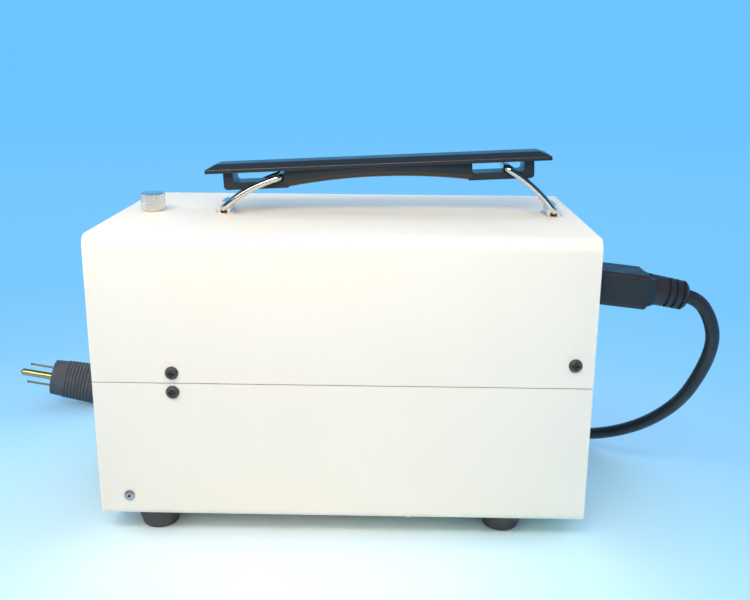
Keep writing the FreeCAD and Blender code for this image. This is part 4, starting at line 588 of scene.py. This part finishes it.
def from_strip(tree, place):
    """Distance on the floor from the painted pool of light: the strip in front of the object where
    the paper is painted white.
    """
    spot = add_node(tree, "ShaderNodeSeparateXYZ", {"Vector": place}).outputs
    before = maths(tree, "MINIMUM", spot["Y"], PAINTED_POOL_FRONT)
    behind = maths(tree, "MAXIMUM", spot["Y"], PAINTED_POOL_BACK)
    along = maths(tree, "ADD", maths(tree, "ADD", before, behind), -PAINTED_POOL_FRONT)
    flat = add_node(tree, "ShaderNodeCombineXYZ", {"X": spot["X"], "Y": along}).outputs["Vector"]
    away = add_node(tree, "ShaderNodeVectorMath", {0: flat}, operation="DISTANCE", inputs={
        1: Vector((PAINTED_POOL_X, PAINTED_POOL_BACK, 0.0))})
    return away.outputs["Value"]


def studio_floor():
    """Wide paper with a painted pool of light: white in front of the object below the strip lamp,
    turning into the backdrop's blue further off.

    Far from the object it glows in the backdrop's own colour for rays that see it directly.
    """
    data = bpy.data.meshes.new("studio_floor")
    corners = [(x * FLOOR_REACH, y * FLOOR_REACH, 0) for x, y in ((-1, -1), (1, -1), (1, 1), (-1, 1))]
    data.from_pydata(corners, [], [(0, 1, 2, 3)])
    floor = bpy.data.objects.new("studio_floor", data)
    bpy.context.collection.objects.link(floor)
    material, tree, shader, place = new_material("floor_paper_painted_pool", "F6FDFE", 0.9)
    away = from_strip(tree, place)
    # Painted pool of light: floor colour white near the object, blue further off.
    ramp = add_node(tree, "ShaderNodeValToRGB", {"Fac": remap(tree, away, 0.0, FADE_REACH, 0.0, 1.0)})
    colours = ramp.color_ramp.elements
    colours[0].color = linear("F4FAFC")
    colours[1].color = linear(BACKDROP)
    for share, colour in ((0.03, "EBFAFE"), (0.05, "D8F7FE"), (0.08, "BDECFE"), (0.11, "A0DAFE"),
                          (0.15, "89D0FE"), (0.22, "7BCAFF")):
        colours.new(share).color = linear(colour)
    tree.links.new(ramp.outputs["Color"], shader.inputs["Base Color"])
    far = remap(tree, away, GLOW_START, GLOW_FULL, 0.0, 1.0, interpolation_type="SMOOTHSTEP")
    glowing = maths(tree, "MULTIPLY", far, seen_directly(tree))
    glow = add_node(tree, "ShaderNodeEmission", {"Color": ramp.outputs["Color"]}).outputs[0]
    both = add_node(tree, "ShaderNodeMixShader", {
        0: glowing, 1: shader.outputs[0], 2: glow}).outputs[0]
    tree.links.new(both, tree.nodes["Material Output"].inputs["Surface"])
    data.materials.append(material)


def soft_box(name, place, aim, size, power, colour, mirrored=True, spread=180):
    """Rectangular lamp aimed at a point; some are kept out of mirror-like surfaces."""
    light = bpy.data.lights.new(name, "AREA")
    light.shape = "RECTANGLE"
    light.size, light.size_y = size
    light.energy = power
    light.color = linear(colour)[:3]
    light.spread = math.radians(spread)
    lamp = bpy.data.objects.new(name, light)
    bpy.context.collection.objects.link(lamp)
    lamp.location = place
    lamp.rotation_euler = (Vector(aim) - Vector(place)).to_track_quat("-Z", "Y").to_euler()
    lamp.visible_camera = False
    lamp.visible_glossy = mirrored


def studio_world():
    """Sky light that grows towards overhead, and the backdrop that the camera and gloss see."""
    world = bpy.data.worlds.new("studio")
    bpy.context.scene.world = world
    world.use_nodes = True
    tree = world.node_tree
    sky = tree.nodes["Background"]
    sky.inputs["Color"].default_value = linear("ACD4FF")
    way = add_node(tree, "ShaderNodeTexCoord").outputs["Generated"]
    heading = add_node(tree, "ShaderNodeSeparateXYZ", {"Vector": way}).outputs
    tree.links.new(remap(tree, heading["Z"], 0.0, 1.0, 0.08, 1.3), sky.inputs["Strength"])
    paper = add_node(tree, "ShaderNodeValToRGB", {"Fac": heading["Z"]})
    for end, position, colour in ((0, 0.25, BACKDROP), (1, 0.6, "3A78AE")):
        paper.color_ramp.elements[end].position = position
        paper.color_ramp.elements[end].color = linear(colour)
    forward = remap(tree, heading["Y"], -0.5, -0.2, 0.0, 1.0)
    room = add_node(tree, "ShaderNodeBackground", inputs={"Color": linear("30373D")})
    backdrop = add_node(tree, "ShaderNodeBackground", {"Color": paper.outputs["Color"]})
    mirrored = add_node(tree, "ShaderNodeMixShader", {
        0: forward, 1: room.outputs[0], 2: backdrop.outputs[0]})
    plain = add_node(tree, "ShaderNodeBackground", inputs={"Color": linear(BACKDROP)})
    gloss = add_node(tree, "ShaderNodeLightPath").outputs["Is Glossy Ray"]
    seen = add_node(tree, "ShaderNodeMixShader", {
        0: gloss, 1: plain.outputs[0], 2: mirrored.outputs[0]})
    both = add_node(tree, "ShaderNodeMixShader", {
        0: seen_directly(tree), 1: sky.outputs[0], 2: seen.outputs[0]}).outputs[0]
    tree.links.new(both, tree.nodes["World Output"].inputs["Surface"])


def studio_lamps():
    """Warm lamps: a narrow one close above, a wide one in front, and soft ones round the rest."""
    soft_box("strip", (-0.08, -0.30, 0.39), (-0.03, 0.04, 0.11), (0.5, 0.07), 0.44, "FFF0D4",
             spread=96)
    soft_box("fill", (-0.25, -1.35, 1.15), (0, 0, 0.08), (0.9, 0.9), 8.4, "FFE1BA")
    soft_box("back", (0.6, 1.5, 1.1), (0, 0, 0.1), (1.0, 1.0), 7.0, "FFF1DA", mirrored=False)
    soft_box("left", (-1.5, 0.1, 0.8), (0, 0, 0.1), (1.0, 1.0), 4.5, "FFF1DA", mirrored=False)
    soft_box("right", (1.5, 0.2, 0.8), (0, 0, 0.1), (1.0, 1.0), 4.0, "FFF1DA", mirrored=False)


studio_floor()
studio_world()
studio_lamps()
bpy.context.scene.view_settings.view_transform = "Standard"
